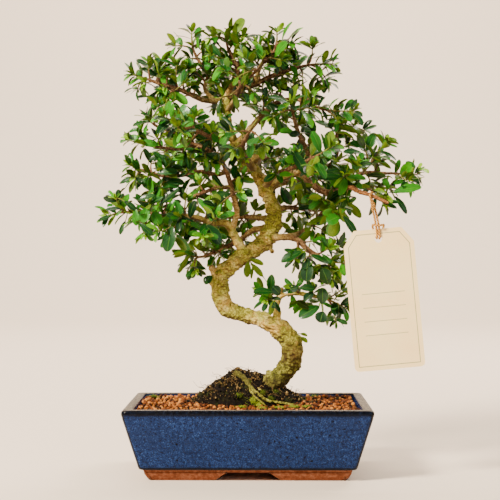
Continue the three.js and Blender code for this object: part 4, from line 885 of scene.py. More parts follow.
def sow(chance, place, ahead, most, length, spread, age):
    """A cluster of leaves fanned round a shoot, leaning off it by spread, upper faces to the light."""
    count = int(chance.integers(2, most + 1))
    roll = chance.uniform(0, 6.28) + 2 * math.pi * np.arange(count) / count
    roll = roll + chance.uniform(-0.35, 0.35, count)
    lean = chance.uniform(*spread, count)[:, None]
    reference = np.array([1.0, 0, 0]) if abs(ahead[2]) > 0.95 else np.array([0, 0, 1.0])
    side = unit(np.cross(ahead, reference))
    over = np.cross(ahead, side)
    fan = side * np.cos(roll)[:, None] + over * np.sin(roll)[:, None]
    size = length[0] + (length[1] - length[0]) * chance.uniform(0, 1, count)
    way = ahead * np.cos(lean) + fan * np.sin(lean)
    way[:, 2] += 0.2 - 0.014 * size
    way = unit(way)
    face = unit(place - HEART) * 0.5 + np.array([0, -0.38, 0.7]) + chance.normal(0, 0.3, (count, 3))
    face = unit(face - way * (face * way).sum(-1, keepdims=True))
    tone = chance.uniform(0, 1, count)
    width = size * chance.uniform(0.37, 0.485, count) * np.clip(0.72 + size * 0.025, 0.85, 1)
    return np.column_stack([place + way * 0.6, way, face, size, width,
        chance.uniform(0.1, 0.75, count), chance.uniform(0.05, 0.5, count), chance.normal(0, 0.3, count),
        np.clip(age + chance.normal(0, 0.12, count), 0, 1), tone])


def leaf_blades(leaves):
    """Spoon-shaped blades: half-width sin(pi u^1.25)^0.54 along a drooping midrib, cupped and twisted."""
    place, way, face = leaves[:, 0:3], leaves[:, 3:6], leaves[:, 6:9]
    size, width, droop, cup, twist, age, tone = (leaves[:, k][:, None] for k in range(9, 16))
    u = LEAF_ROWS[None]
    start = -0.45 * droop
    bend = start + droop * u
    forward = size * (np.sin(bend) - np.sin(start)) / droop
    rise = size * (np.cos(bend) - np.cos(start)) / droop
    middle = place[:, None] + way[:, None] * forward[..., None] + face[:, None] * rise[..., None]
    normal = face[:, None] * np.cos(bend)[..., None] + way[:, None] * np.sin(bend)[..., None]
    across = np.cross(face, way)[:, None] + np.zeros_like(normal)
    turn = (twist * u)[..., None]
    across, normal = (across * np.cos(turn) + normal * np.sin(turn),
        normal * np.cos(turn) - across * np.sin(turn))
    half = width / 2 * np.sin(np.pi * np.clip(u, 0, 1) ** 1.25).clip(0) ** 0.54
    angle = np.arange(LEAF_COLUMNS) * 2 * math.pi / LEAF_COLUMNS
    out, through = np.cos(angle), np.sin(angle) * LEAF_THICKNESS / 2
    lift = through + (cup * half)[..., None] * out ** 2
    lift = lift + (0.05 * half * np.sin(u * 11 + tone * 20))[..., None] * out
    rings = middle[:, 1:-1, None] + across[:, 1:-1, None] * (half[:, 1:-1, None] * out)[..., None] \
        + normal[:, 1:-1, None] * lift[:, 1:-1, :, None]
    count, rows = len(leaves), len(LEAF_ROWS) - 2
    shape = np.concatenate([rings.reshape(count, -1, 3), middle[:, :1], middle[:, -1:]], 1)
    flat_u = np.append(np.repeat(LEAF_ROWS[1:-1], LEAF_COLUMNS), (0, 1))
    flat_v = np.append(np.tile(0.5 + 0.5 * out, rows), (0.5, 0.5))
    under = np.append(np.tile((np.sin(angle) < -0.1) * 1.0, rows), (0.5, 0.5))
    marks = {"tone": np.repeat(tone[:, 0], shape.shape[1]), "age": np.repeat(age[:, 0], shape.shape[1]),
        "below": np.tile(under, count)}
    uv = np.tile(np.column_stack([flat_u, flat_v]), (count, 1))
    faces = copied(tube_faces(rows, LEAF_COLUMNS), count, shape.shape[1])
    return shape.reshape(-1, 3), faces, marks, uv


def leaf_depth(base, tip, leaves, wood):
    """Depth of a broad leaf: just before the leaves that show round it, and close to the wood at its base."""
    around = leaves[np.linalg.norm(leaves[:, :2] - (base + tip) / 2, axis=1) < 8.5, 2]
    gap = np.linalg.norm(wood[:, :2] - base, axis=1)
    carrying = wood[gap < max(6.0, gap.min() + 1.7), 2]
    if len(around) < 3:
        return wood[gap.argmin(), 2] - 4
    return max(np.percentile(around, 8) - 2, carrying.min() - 14)


def broad_leaf(base, tip, width, kind):
    """One leaf from its base and tip, its upper face to the front or, seen from below, to the back."""
    way = unit(tip - base)
    face = np.array([0, 0.75, 0.6]) if kind == 2 else np.array([0, -0.8, 0.55])
    face = face + chance.normal(0, 0.14, 3)
    face = unit(face - way * (face @ way))
    tone = (0.12, 0.72, 0.5, 0.6)[kind] + chance.normal(0, 0.07)
    age = 0.2 if kind == 3 else 1.0
    droop, cup, twist = chance.uniform(0.25, 0.6), chance.uniform(0.1, 0.35), chance.normal(0, 0.15)
    length = np.linalg.norm(tip - base) * 1.05
    return np.array([*base, *way, *face, length, width * 1.12, droop, cup, twist, age, tone])


def curved(start, heading, tip, push=0.4):
    """A shoot: a quadratic curve that leaves along its heading and ends at its tip."""
    bend = start + heading * push * np.linalg.norm(tip - start)
    share = np.linspace(0, 1, 9)[:, None]
    return (1 - share) ** 2 * start + 2 * share * (1 - share) * bend + share ** 2 * tip


def spray_shoots(branch, index, tips):
    """The leader and side shoots of a spray, in the places that the solids give them."""
    points = np.array(BRANCHES[branch], float)
    here, before = points[index, :3], points[index - 1, :3]
    tips = np.array(tips, float)
    if index == len(points) - 1:
        heading = unit(here - before)
        start = here
    else:
        heading = unit(unit(tips[0] - here) + 0.3 * unit(points[index + 1, :3] - before))
        start = here + heading * points[index, 3] * 0.6
    shoots = [curved(start, heading, tips[0])]
    for order, tip in enumerate(tips[1:], 1):
        fork = 0.22 + 0.2 * (order - 1)
        at = int(round(fork * 8))
        from_here = shoots[0][at]
        way = unit(unit(shoots[0][at + 1] - from_here) + unit(tip - from_here))
        shoots.append(curved(from_here, way, tip))
    return shoots


def side_twigs(name, points, growth):
    """Twigs along the outer part of a branch, each a golden angle round from the last, leaning outwards."""
    path = route(points, 12 * len(points))[:, :3]
    tangent, normal, across = frames(path)
    distance = np.concatenate([[0], np.cumsum(np.linalg.norm(np.diff(path, axis=0), axis=1))])
    spacing, longest = CROWN_TWIGS if "top" in name else LOWER_TWIGS
    first = LATE_TWIGS.get(name, TWIG_START) * distance[-1]
    found = []
    for order, place in enumerate(np.arange(first, distance[-1], spacing)):
        at = int(np.searchsorted(distance, place))
        roll = order * GOLDEN_ANGLE + growth.uniform(-0.5, 0.5)
        sideways = normal[at] * math.cos(roll) + across[at] * math.sin(roll)
        outwards = unit(path[at] - HEART) * 0.4 + (0, -0.08, 0.2)
        way = unit(sideways + outwards + growth.normal(0, 0.25, 3))
        tip = path[at] + way * growth.uniform(SHORTEST_TWIG, longest) * (1 - 0.35 * place / distance[-1])
        found.append(curved(path[at], unit(way + 0.5 * tangent[at]), tip))
    return found


def leafy(seed, shoot):
    """Leaves along a shoot: a young rosette at the tip, small leaves under it and larger ones behind."""
    chance = np.random.default_rng(seed)
    spacing, longest = 5.5 + 2.0 * (seed % 3), 15.0 + 3.0 * (seed // 3 % 3)
    steps = np.linalg.norm(np.diff(shoot, axis=0), axis=1)
    reach = np.concatenate([[0], np.cumsum(steps)])
    ahead = unit(shoot[-1] - shoot[-2])
    found = [sow(chance, shoot[-1], ahead, 4, (4, 7.5), (0.15, 0.7), 0.1 if seed % 5 < 3 else 0.6),
        sow(chance, shoot[-1] - ahead, ahead, 5, (8, 12), (0.6, 1.15), 0.78),
        sow(chance, shoot[-1] - ahead * 3, ahead, 4, (10, 15), (0.85, 1.35), 0.95)]
    distance = reach[-1] - spacing * 1.2
    while distance > 4:
        place = np.array([np.interp(distance, reach, shoot[:, k]) for k in range(3)])
        after = min(int(np.searchsorted(reach, distance)), len(shoot) - 1)
        ahead = unit(shoot[after] - shoot[after - 1])
        found.append(sow(chance, place, ahead, 4, (11, longest), (0.75, 1.4), 1.0))
        distance -= spacing * chance.uniform(0.8, 1.2)
    return np.concatenate(found)


def from_front(places):
    """Where places show from the front, in millimetres at the depth of the trunk, with their depth."""
    away = places - EYE
    return np.column_stack([away[:, 0] / away[:, 1] * -EYE[1], away[:, 2] / away[:, 1] * -EYE[1], places[:, 1]])


def leaf_middles(leaves):
    return from_front(leaves[:, :3] + leaves[:, 3:6] * leaves[:, 9:10] / 2)


def open_front(leaves):
    """Leaves less those whose middle lies in front of a bare stretch of branch."""
    middle = leaf_middles(leaves)
    keep = np.ones(len(leaves), bool)
    for name, first, last in BARE_LIMBS:
        points = BRANCHES[name]
        line = from_front(route(points, 10 * (len(points) - 1))[10 * first:10 * last + 1, :3])
        gap = np.linalg.norm(middle[:, None, :2] - line[None, :, :2], axis=2)
        near = gap.argmin(axis=1)
        close = gap.min(axis=1) < 1.5 + 0.3 * leaves[:, 9]
        keep &= ~(close & (middle[:, 2] < line[near, 2]) & (leaves[:, 15] > 0.12))
    return leaves[keep]


def twig_limb(line, radii, steps, columns, youth, relief=None):
    """The wood of a shoot, which thins evenly between two radii."""
    radius = np.linspace(*radii, len(line))[:, None]
    return limb(np.hstack([line, radius]), steps, columns, relief, youth=youth, algae=0.1, rust=0.0)


def make_foliage():
    """Leaves in a piece for each part of the crown, and the shoots and twigs that carry them."""
    leaf, bark = leaf_finish(), bark_finish()
    leaves = {"crown": [], "left": [], "low_left": [], "middle": [], "right": [], "low_right": []}
    nodes = {region: [] for region in leaves}
    twigs, shoots = [], []
    for number, (branch, index, tips) in enumerate(SPRAYS, 1):
        region = region_of(branch)
        nodes[region].append(f"spray_{number:02d}")
        for order, shoot in enumerate(spray_shoots(branch, index, tips)):
            leaves[region].append(leafy(number + 100 * order, shoot))
            shoots.append(shoot)
            twigs.append(twig_limb(shoot, (0.95 if order else 1.25, 0.5), 16, 7, (0.9, 1.9), branch_relief))
    growth = np.random.default_rng(23)
    for name, points in BRANCHES.items():
        if name == "hook":
            continue
        for twig in side_twigs(name, points, growth):
            leaves[region_of(name)].append(leafy(TWIG_SEEDS + len(shoots), twig))
            shoots.append(twig)
            twigs.append(twig_limb(twig, (0.95, 0.5), 10, 6, (0.8, 1.7), branch_relief))
    leaves = {region: [open_front(np.concatenate(found))] for region, found in leaves.items()}
    lines = {name: route(points, 60)[:, :3] for name, points in BRANCHES.items()}
    stem = route(TRUNK, 120)[:, :3]
    lines["trunk"] = stem[stem[:, 2] > TWIG_LOWEST]
    bearing = np.concatenate(list(lines.values()))
    names = np.concatenate([[name] * len(line) for name, line in lines.items()])
    wood = np.concatenate([bearing, *shoots])
    leaves_shown = np.concatenate([leaf_middles(found[0]) for found in leaves.values()])
    wood_shown = from_front(wood)
    for column, row, tip_column, tip_row, wide, kind in BROAD_LEAVES:
        flat = [photo_place(*spot, 0.0) for spot in ((column, row), (tip_column, tip_row))]
        depth = leaf_depth(*((spot - EYE)[[0, 2]] for spot in flat), leaves_shown, wood_shown)
        depth = max(depth, BROAD_FRONT["by the tag" if flat[0][0] > TAG_SIDE else "elsewhere"])
        base = photo_place(column, row, depth)
        tip = photo_place(tip_column, tip_row, depth + (2 if kind == 2 else -2))
        blade = broad_leaf(base, tip, wide * (depth - EYE[1]) / FOCAL, kind)
        near = int(np.argmin(np.linalg.norm(bearing - base, axis=1)))
        leaves[region_of(names[near])].append(blade[None])
        start = wood[int(np.argmin(np.linalg.norm(wood - base, axis=1)))]
        stalk = curved(start, unit(unit(base - start) - 0.6 * blade[3:6]), base + blade[3:6] * 0.8)
        twigs.append(twig_limb(stalk, (0.5, 0.36), 8, 5, (1.2, 1.9)))
    for region, found in leaves.items():
        piece(f"leaves_{region}", [leaf_blades(np.concatenate(found))], leaf, nodes[region],
            mapped="leaf", crease=75)
    piece("twigs", twigs, bark, [])


# Soil and granules
MOUND_RISE = 30.5
MOUND_FOOT = 45.0
MOUND_FALL = {"left": 38.0, "right": 62.0, "front": 33.0, "back": 40.0}
HEAP_PLACE = (10.0, 4.0)
HEAP_RISE = 4.0
HEAP_SPREAD = 50.0
CRUMB_COUNT = 3600
FIBRE_COUNT = 170
# spacing of a layer of grains, its height over the soil level and the share of places that hold one
GRAIN_LAYERS = ((3.3, -2.2, 1.0), (3.0, -1.1, 0.85), (3.2, 0.3, 0.66))
GRAIN_BED_FOOT = 33.0


def mound_height(x, y):
    """Dark mound: its rise times (1 - c)^0.8, c growing to 1 at an oval edge, with a heap by the trunk."""
    aside, away = x - MOUND_PEAK[0], y - MOUND_PEAK[1]
    crest = np.hypot(aside / np.where(aside > 0, MOUND_FALL["right"], MOUND_FALL["left"]),
        away / np.where(away < 0, MOUND_FALL["front"], MOUND_FALL["back"]))
    heap = HEAP_RISE * np.exp(-((x - HEAP_PLACE[0]) ** 2 + (y - HEAP_PLACE[1]) ** 2) / HEAP_SPREAD)
    return SOIL_LEVEL - 1.5 + MOUND_RISE * np.maximum(0, 1 - crest) ** 0.8 + heap


def on_mound(angle, share):
    """Plan places on the mound, at a share of the way from its middle to its edge."""
    wide = np.where(np.cos(angle) < 0, MOUND_REACH["left"], MOUND_REACH["right"])
    deep = np.where(np.sin(angle) < 0, MOUND_REACH["front"], MOUND_REACH["back"])
    return share * np.cos(angle) * wide, MOUND_SETBACK + share * np.sin(angle) * deep


def pebble_shape():
    """Twenty-six directions and twenty-four quads: a cube with each side in four, drawn to a ball."""
    axis = np.array([-1.0, 0, 1])
    points = np.array([p for p in np.stack(np.meshgrid(axis, axis, axis, indexing="ij"), -1).reshape(-1, 3)
        if np.abs(p).max() == 1])
    index = {tuple(p.astype(int)): i for i, p in enumerate(points)}
    faces = []
    for side in range(3):
        one, two = (side + 1) % 3, (side + 2) % 3
        for sign in (-1, 1):
            for a, b in np.ndindex(2, 2):
                ring = [(a - 1, b - 1), (a, b - 1), (a, b), (a - 1, b)][::sign]
                corner = []
                for p, q in ring:
                    spot = [0, 0, 0]
                    spot[side], spot[one], spot[two] = sign, p, q
                    corner.append(index[tuple(spot)])
                faces.append(corner)
    return unit(points), np.array(faces)


def crumb_shape():
    """Eight directions and six quads: the corners and sides of a cube."""
    corners = np.array([(x, y, z) for x in (-1, 1) for y in (-1, 1) for z in (-1, 1)], float)
    return unit(corners), np.array([[0, 1, 3, 2], [4, 6, 7, 5], [0, 4, 5, 1], [2, 3, 7, 6], [0, 2, 6, 4],
        [1, 5, 7, 3]])


def pebbles(place, size, angular, shape_of=pebble_shape, **marks):
    """Stones: a faceted ball, pushed in and out at random, stretched, turned and set in place."""
    ball, faces = shape_of()
    count = len(place)
    turn = unit(chance.normal(0, 1, (count, 4)))
    w, x, y, z = turn.T
    matrix = np.stack([1 - 2 * (y * y + z * z), 2 * (x * y - z * w), 2 * (x * z + y * w),
        2 * (x * y + z * w), 1 - 2 * (x * x + z * z), 2 * (y * z - x * w),
        2 * (x * z - y * w), 2 * (y * z + x * w), 1 - 2 * (x * x + y * y)], -1).reshape(-1, 3, 3)
    push = 1 + angular * chance.uniform(-1, 1, (count, len(ball)))
    stretch = chance.uniform(0.78, 1.15, (count, 1, 3))
    shape = np.einsum("nij,nkj->nki", matrix, ball * stretch * push[..., None]) * (size / 2)[:, None, None]
    shape = shape + place[:, None]
    marks = {word: np.repeat(values, len(ball)) for word, values in marks.items()}
    return shape.reshape(-1, 3), copied([faces], count, len(ball)), marks, None


def make_mound():
    """Root ball: a height field over rays from its middle, closed below, with crumbs and fine roots."""
    rays, rows = 420, 84
    angle = np.linspace(0, 2 * math.pi, rays, endpoint=False)[None]
    share = np.linspace(1.08, 0.012, rows)[:, None]
    x, y = on_mound(angle, share)
    z = mound_height(x, y)
    flat = np.stack([x, y, z], -1)
    rough = 2.2 * lumps(flat, 5.2, 31) + 2.4 * lumps(flat, 2.6, 32) + 1.3 * lumps(flat, 1.3, 33)
    z = z + rough * np.clip((1.12 - share) * 5, 0.15, 1) - 3.2 * np.clip(share - 1, 0, 1) * 12
    skin = np.stack([x + 0.5 * lumps(flat, 2.2, 34), y + 0.5 * lumps(flat, 2.2, 35), z], -1)
    skirt = skin[:1] * (1, 1, 0) + (0, 0, MOUND_FOOT)
    rings = np.concatenate([skirt, skin])
    points = np.vstack([rings.reshape(-1, 3), [[0, MOUND_SETBACK, MOUND_FOOT]], skin[-1].mean(0, keepdims=True)])
    mound = points, tube_faces(rows + 1, rays), {"tone": 0.22}, None
    count = CRUMB_COUNT
    cx, cy = on_mound(chance.uniform(0, 2 * math.pi, count), chance.uniform(0, 1, count) ** 0.6 * 1.15)
    size = chance.exponential(0.75, count).clip(0.7, 2.8)
    cz = np.maximum(mound_height(cx, cy), SOIL_LEVEL + 0.4) + chance.uniform(0.1, 1.3, count)
    tone = chance.uniform(0, 1.05, count) ** 2
    crumbs = pebbles(np.column_stack([cx, cy, cz]), size * 1.12, 0.36, crumb_shape, tone=tone)
    fibres = []
    for _ in range(FIBRE_COUNT):
        fx, fy = (float(v) for v in on_mound(chance.uniform(0, 2 * math.pi), chance.uniform(0.1, 1.0)))
        start = np.array([fx, fy, float(mound_height(fx, fy)) + 0.4])
        way = unit(chance.normal(0, 1, 3) * (1, 1, 0.45))
        path = np.array([start, start + way * 3 + (0, 0, 1.6), start + way * 6 + chance.normal(0, 1, 3),
            start + way * 9 + chance.normal(0, 1.4, 3)])
        path[1:, 2] = np.maximum(path[1:, 2], mound_height(path[1:, 0], path[1:, 1]) + 0.3)
        fibre = limb(np.column_stack([path, [0.24, 0.2, 0.15, 0.1]]), 12, 5, rounded=False)
        fibres.append((fibre[0], fibre[1], {"tone": chance.uniform(0.2, 1.1)}, None))
    peat = soil_finish()
    piece("soil_mound", [mound, *fibres], peat, ["root_ball"])
    piece("soil_crumbs", [crumbs], peat, [])


def make_granules():
    """Clay grains on jittered grids in three layers over a dark bed, left out under the mound; the lower layers
    and the bed are painted dark as the shade in the gaps between grains.
    """
    found = []
    for pitch, level, keep in GRAIN_LAYERS:
        x, y = np.meshgrid(np.arange(-91, 91.1, pitch), np.arange(-55, 55.1, pitch))
        place = np.column_stack([x.ravel(), y.ravel(), np.full(x.size, SOIL_LEVEL + level)])
        place += chance.normal(0, 1, place.shape) * (0.75, 0.75, 0.45)
        # painted shade: the lower layers lie in the shade of the grains above, so they are darkened
        damp = np.full(len(place), min(0.95, max(0, -level) * 0.7))
        found.append(np.column_stack([place, damp])[chance.uniform(0, 1, len(place)) < keep])
    place = np.concatenate(found)
    covered = mound_height(place[:, 0], place[:, 1]) > SOIL_LEVEL + chance.uniform(0.5, 4, len(place))
    inside = (np.abs(place[:, 0]) < 90.5) & (np.abs(place[:, 1]) < 54.6)
    place = place[inside & ~covered]
    place[:, 2] += 2.4 * np.exp(-((place[:, 0] - 44) ** 2 + (place[:, 1] - 18) ** 2) / 260)
    size = chance.uniform(2.2, 3.4, len(place))
    tone = np.clip(0.5 - place[:, 0] * 0.0016 + chance.normal(0, 0.36, len(place)), 0, 1)
    algae = np.clip((place[:, 1] - 15) / 30, 0, 1)
    open_air = place[:, 3] < 0.1
    stones = [pebbles(place[layer, :3], size[layer], 0.16, shape_of, tone=tone[layer], algae=algae[layer],
        damp=place[layer, 3]) for layer, shape_of in ((open_air, pebble_shape), (~open_air, crumb_shape))]
    x, y = np.meshgrid(np.linspace(-91.5, 91.5, 91), np.linspace(-55.7, 55.7, 56))
    z = SOIL_LEVEL - 3.2 + 0.7 * lumps(np.stack([x, y, 0 * x], -1), 3, 41)
    top = np.stack([x, y, z], -1)
    faces = grid_faces(56, 91, around=False)
    edge = np.concatenate([top[0], top[1:-1, -1], top[-1, ::-1], top[-2:0:-1, 0]])
    bed = top.reshape(-1, 3)
    # the bed is painted near black as the shade that shows in the gaps between the grains
    marks = {"tone": 0.2, "algae": 0.0, "damp": 0.8}
    wall_low = edge * (0.94, 0.92, 0) + (0, 0, GRAIN_BED_FOOT)
    wall = np.vstack([wall_low, edge, [[0, 0, GRAIN_BED_FOOT]]])
    ring = len(edge)
    column = np.arange(ring)
    under = np.stack([np.full(ring, 2 * ring), (column + 1) % ring, column], -1)
    sides = wall, [grid_faces(2, ring), under], marks, None
    piece("clay_granules", [*stones, (bed, [faces], marks, None), sides], granule_finish(),
        ["granules"])


MOSS = (
    # x, y, spread and how bright
    (-7.7, -15.0, 2.6, 0.45), (4.5, -18.0, 3.6, 0.85), (9.0, -20.0, 3.0, 0.95), (-5.2, -31.0, 3.4, 0.8),
    (11.2, -38.0, 3.4, 0.85), (26.2, -34.0, 3.6, 0.9), (38.0, -29.0, 3.8, 0.75), (48.5, -28.0, 3.2, 0.7),
    (49.8, 16.0, 3.2, 0.8), (23.8, -5.0, 2.6, 0.45), (19.6, -13.0, 2.6, 0.4), (12.3, -10.0, 2.0, 0.5),
    (-44.0, 18.0, 3.0, 0.3), (-84.0, 42.0, 3.8, 0.4), (58.0, 46.0, 3.4, 0.35), (20.0, 24.0, 4.2, 0.6),
    (-14.0, 32.0, 4.0, 0.6), (4.0, 42.0, 3.6, 0.7), (-34.0, 38.0, 3.0, 0.4), (0.5, -3.0, 1.8, 0.4),
)


def make_moss():
    """Tufts: small three-sided spikes that fan out of each clump."""
    spikes = []
    for x, y, spread, bright in MOSS:
        count = int(34 * spread)
        offset = chance.normal(0, 0.5, (count, 2)) * spread
        foot = np.column_stack([x + offset[:, 0], y + offset[:, 1] * 0.8, np.zeros(count)])
        foot[:, 2] = np.maximum(mound_height(foot[:, 0], foot[:, 1]), SOIL_LEVEL + 0.3) + 0.3
        way = np.column_stack([offset / spread * 0.9, np.ones(count)]) + chance.normal(0, 0.3, (count, 3))
        tip = foot + unit(way) * chance.uniform(1.2, 3.0, count)[:, None]
        turn = chance.uniform(0, 6.28, count)[:, None] + np.arange(3)[None] * 2 * math.pi / 3
        base = foot[:, None] + np.stack([np.cos(turn), np.sin(turn), 0 * turn], -1) * 0.42
        shape = np.concatenate([base, tip[:, None]], 1)
        faces = copied([np.array([[0, 1, 3], [1, 2, 3], [2, 0, 3], [0, 2, 1]])], count, 4)
        tone = np.clip(bright + chance.normal(0, 0.12, count), 0, 1)[:, None] - np.array([0.45, 0.45, 0.45, 0])
        spikes.append((shape.reshape(-1, 3), faces, {"tone": tone.ravel()}, None))
    piece("moss_tufts", spikes, moss_finish(), [])


# Pot
def pot_outline():
    """Rounded rectangle: corner centre signs and outward direction of 448 places, from the back middle."""
    arc = np.linspace(0, math.pi / 2, 13)[:-1]
    def straight(count):
        return np.linspace(-1, 1, count + 1)[:-1]
    side, corner, long = straight(80), 12, straight(120)
    one = np.ones
    cx = np.concatenate([one(80), one(corner), -long, -one(corner), -one(80), -one(corner), long, one(corner)])
    cy = np.concatenate([side, one(corner), one(120), one(corner), -side, -one(corner), -one(120), -one(corner)])
    angle = np.concatenate([np.zeros(80), arc, np.full(120, math.pi / 2), arc + math.pi / 2,
        np.full(80, math.pi), arc + math.pi, np.full(120, 1.5 * math.pi), arc + 1.5 * math.pi])
    shift = -(80 + corner + 60)
    return np.roll(cx, shift), np.roll(cy, shift), np.roll(angle, shift)


def pot_ring(half_x, half_y, height, radius=CORNER_RADIUS):
    cx, cy, angle = pot_outline()
    x = cx * (half_x - radius) + radius * np.cos(angle)
    y = cy * (half_y - radius) + radius * np.sin(angle)
    return np.stack([x, y, height + 0 * x], -1)


def foot_edge():
    """Height of the clay base's lower edge round the pot: down at four feet, up in the gaps between them."""
    cx, cy, angle = pot_outline()
    half_x, half_y = POT_HALF[0] - WALL_TAPER - FOOT_INSET, POT_HALF[1] - WALL_TAPER - FOOT_INSET
    long_side = np.abs(np.sin(angle)) > 0.99
    short_side = np.abs(np.cos(angle)) > 0.99
    long_gap = (FOOT_GAP_LONG[0] - np.abs(cx * half_x)) / (FOOT_GAP_LONG[0] - FOOT_GAP_LONG[1])
    short_gap = (FOOT_GAP_SHORT[0] - np.abs(cy * half_y)) / (FOOT_GAP_SHORT[0] - FOOT_GAP_SHORT[1])
    gap = np.where(long_side, long_gap, np.where(short_side, short_gap, 0))
    return np.clip(gap, 0, 1) * FOOT_HEIGHT


def make_pot():
    """Rings from the cavity floor over the rim and down to the underside, then a floor with two holes."""
    half = np.array(POT_HALF)
    cavity = half - RIM_WIDTH
    bottom = half - WALL_TAPER
    foot = bottom - FOOT_INSET
    # half sizes, height, how thin the glaze is, and whether the clay is bare
    profile = [(cavity - CAVITY_TAPER, CAVITY_FLOOR, 0, 0)]
    for share in np.linspace(0.05, 1, 9):
        profile.append((cavity - CAVITY_TAPER * (1 - share) - 0.4 * share, CAVITY_FLOOR + 38.5 * share, 0.1, 0))
    for inset, drop, thin in ((0, 1.4, 0.35), (0.2, 0.5, 0.75), (0.7, 0.1, 0.5), (1.6, 0, 0.2), (3.5, 0, 0.2),
            (5.2, 0, 0.2)):
        profile.append((cavity + inset, POT_HEIGHT - drop, thin, 0))
    for inset, drop, thin in ((1.9, 0.05, 0.2), (1.3, 0.2, 0.6), (0.7, 0.55, 1.0), (0.25, 1.15, 1.0),
            (0, 2.0, 0.9), (-0.05, 3.1, 0.8), (0.05, 4.1, 0.62), (0.35, 5.0, 0.42), (0.7, 6.0, 0.3)):
        profile.append((half - inset, POT_HEIGHT - drop, thin, 0))
    wall_top = POT_HEIGHT - 7
    for share in np.linspace(0.0, 1, 22):
        z = wall_top - (wall_top - BASE_HEIGHT - 2.2) * share
        inset = 0.75 + (WALL_TAPER - 0.75) * (wall_top - z) / (wall_top - BASE_HEIGHT)
        thin = max(0.26 * math.exp(-(wall_top - z) / 3.2), 0.9 * math.exp(-(z - BASE_HEIGHT - 0.8) / 2.2))
        profile.append((half - inset, z, thin, 0))
    for inset, rise, thin in ((-0.3, 1.4, 0.85), (0.0, 0.8, 0.9), (0.5, 0.3, 0.9), (1.1, 0, 0.85)):
        profile.append((bottom - inset, BASE_HEIGHT + rise, thin, 0))
    profile += [(bottom - 2.2, BASE_HEIGHT - 0.05, 0.8, 0.4), (foot + 0.1, BASE_HEIGHT - 0.1, 0, 1)]
    rings = [pot_ring(*size, z) for size, z, _, _ in profile]
    thin = [value for _, _, value, _ in profile]
    bare = [value for _, _, _, value in profile]
    edge = foot_edge()
    for rise, inset in ((1.8, 0), (0.4, -0.05), (0.1, 0.25), (-0.15, 0.45), (-0.4, 0.35)):
        rings.append(base_ring(foot, FOOT_HEIGHT + rise + 0 * edge, inset))
    for share in (0.2, 0.4, 0.6, 0.8, 0.95):
        rings.append(base_ring(foot, FOOT_HEIGHT - 0.4 + (edge - FOOT_HEIGHT + 0.4) * share, 0.15))
    rings.append(base_ring(foot, edge + 0 * edge, 0.7))
    rings.append(base_ring(foot, edge + 0 * edge, 1.4))
    rings.append(base_ring(foot - FOOT_WIDTH, edge + 0 * edge, -0.8))
    rings.append(base_ring(foot - FOOT_WIDTH, edge * 0.5 + FOOT_HEIGHT * 0.5, 0.0))
    rings.append(pot_ring(*(foot - FOOT_WIDTH), FOOT_HEIGHT))
    thin += [0] * (len(rings) - len(thin))
    bare += [1] * (len(rings) - len(bare))
    grid = np.array(rings)
    count = grid.shape[1]
    angle = pot_outline()[2]
    corner = 0.85 * np.abs(np.sin(2 * angle)) ** 4
    rows = np.arange(len(grid))[:, None]
    outer = (rows >= 16) * 1.0
    thin = 1 - (1 - np.array(thin)[:, None]) * (1 - corner[None] * outer)
    worn = np.zeros(grid.shape[:2])
    worn[-6:-2] = 0.7
    rim = np.zeros(grid.shape[:2])
    rim[12:17] = 1
    # painted shade: the two rings of the groove round the top of the foot
    groove = np.zeros(grid.shape[:2])
    groove[len(profile) + 2:len(profile) + 4] = 1
    shell_faces = grid_faces(len(grid), count)[:, ::-1]
    marks = {"thin": thin.ravel(), "bare": np.repeat(bare, count), "worn": worn.ravel(), "rim": rim.ravel(),
        "groove": groove.ravel()}
    wave = lumps(grid, 17, 51)[..., None] * 0.12 + lumps(grid, 5, 52)[..., None] * 0.05
    out = unit(grid * (1, 1, 0)) * wave * (np.array(bare)[:, None, None] < 0.5)
    parts = [((grid + out).reshape(-1, 3), [shell_faces], marks, None)]
    seam = np.linspace(-1, 1, 26)[1:-1]
    for sign in (-1, 1):
        picked = np.arange(0, 225) if sign < 0 else np.append(np.arange(224, 448), 0)
        order = seam if sign < 0 else -seam
        def loop(ring):
            between = np.column_stack([0 * order, order * ring[0, 1], 0 * order + ring[0, 2]])
            return np.vstack([ring[picked], between])
        top, base = loop((grid + out)[0]), loop((grid + out)[-1])
        centre = np.array([sign * DRAIN_OFFSET, 0, 0])
        circle = unit((top - centre) * (1, 1, 0)) * DRAIN_RADIUS + centre
        upper, lower = circle + (0, 0, CAVITY_FLOOR), circle + (0, 0, FOOT_HEIGHT)
        plate = np.array([top, (top + upper) / 2, upper, lower, (lower + base) / 2, base])
        marks = {"thin": 0.0, "bare": 1.0, "worn": 0.0, "rim": 0.0, "groove": 0.0}
        parts.append((plate.reshape(-1, 3), [grid_faces(6, len(top))], marks, None))
    pot = piece("glazed_pot", parts, glaze_finish(), ["pot"])
    weld(pot)


def base_ring(half, height, inset):
    """A ring of the clay base, which leans in towards its foot, at a height that varies round it."""
    lean = FOOT_SLOPE * np.clip(1 - height / FOOT_HEIGHT, 0, 1) ** 1.6 + inset
    cx, cy, angle = pot_outline()
    radius = CORNER_RADIUS
    x = cx * (half[0] - radius) + radius * np.cos(angle) - lean * np.where(np.abs(cx) < 1, 0, cx)
    y = cy * (half[1] - radius) + radius * np.sin(angle) - lean * np.where(np.abs(cy) < 1, 0, cy)
    return np.stack([x, y, height], -1)


def weld(made):
    """Joins points that lie in the same place."""
    shell = bmesh.new()
    shell.from_mesh(made.data)
    bmesh.ops.remove_doubles(shell, verts=shell.verts, dist=1e-6)
    shell.to_mesh(made.data)
    shell.free()


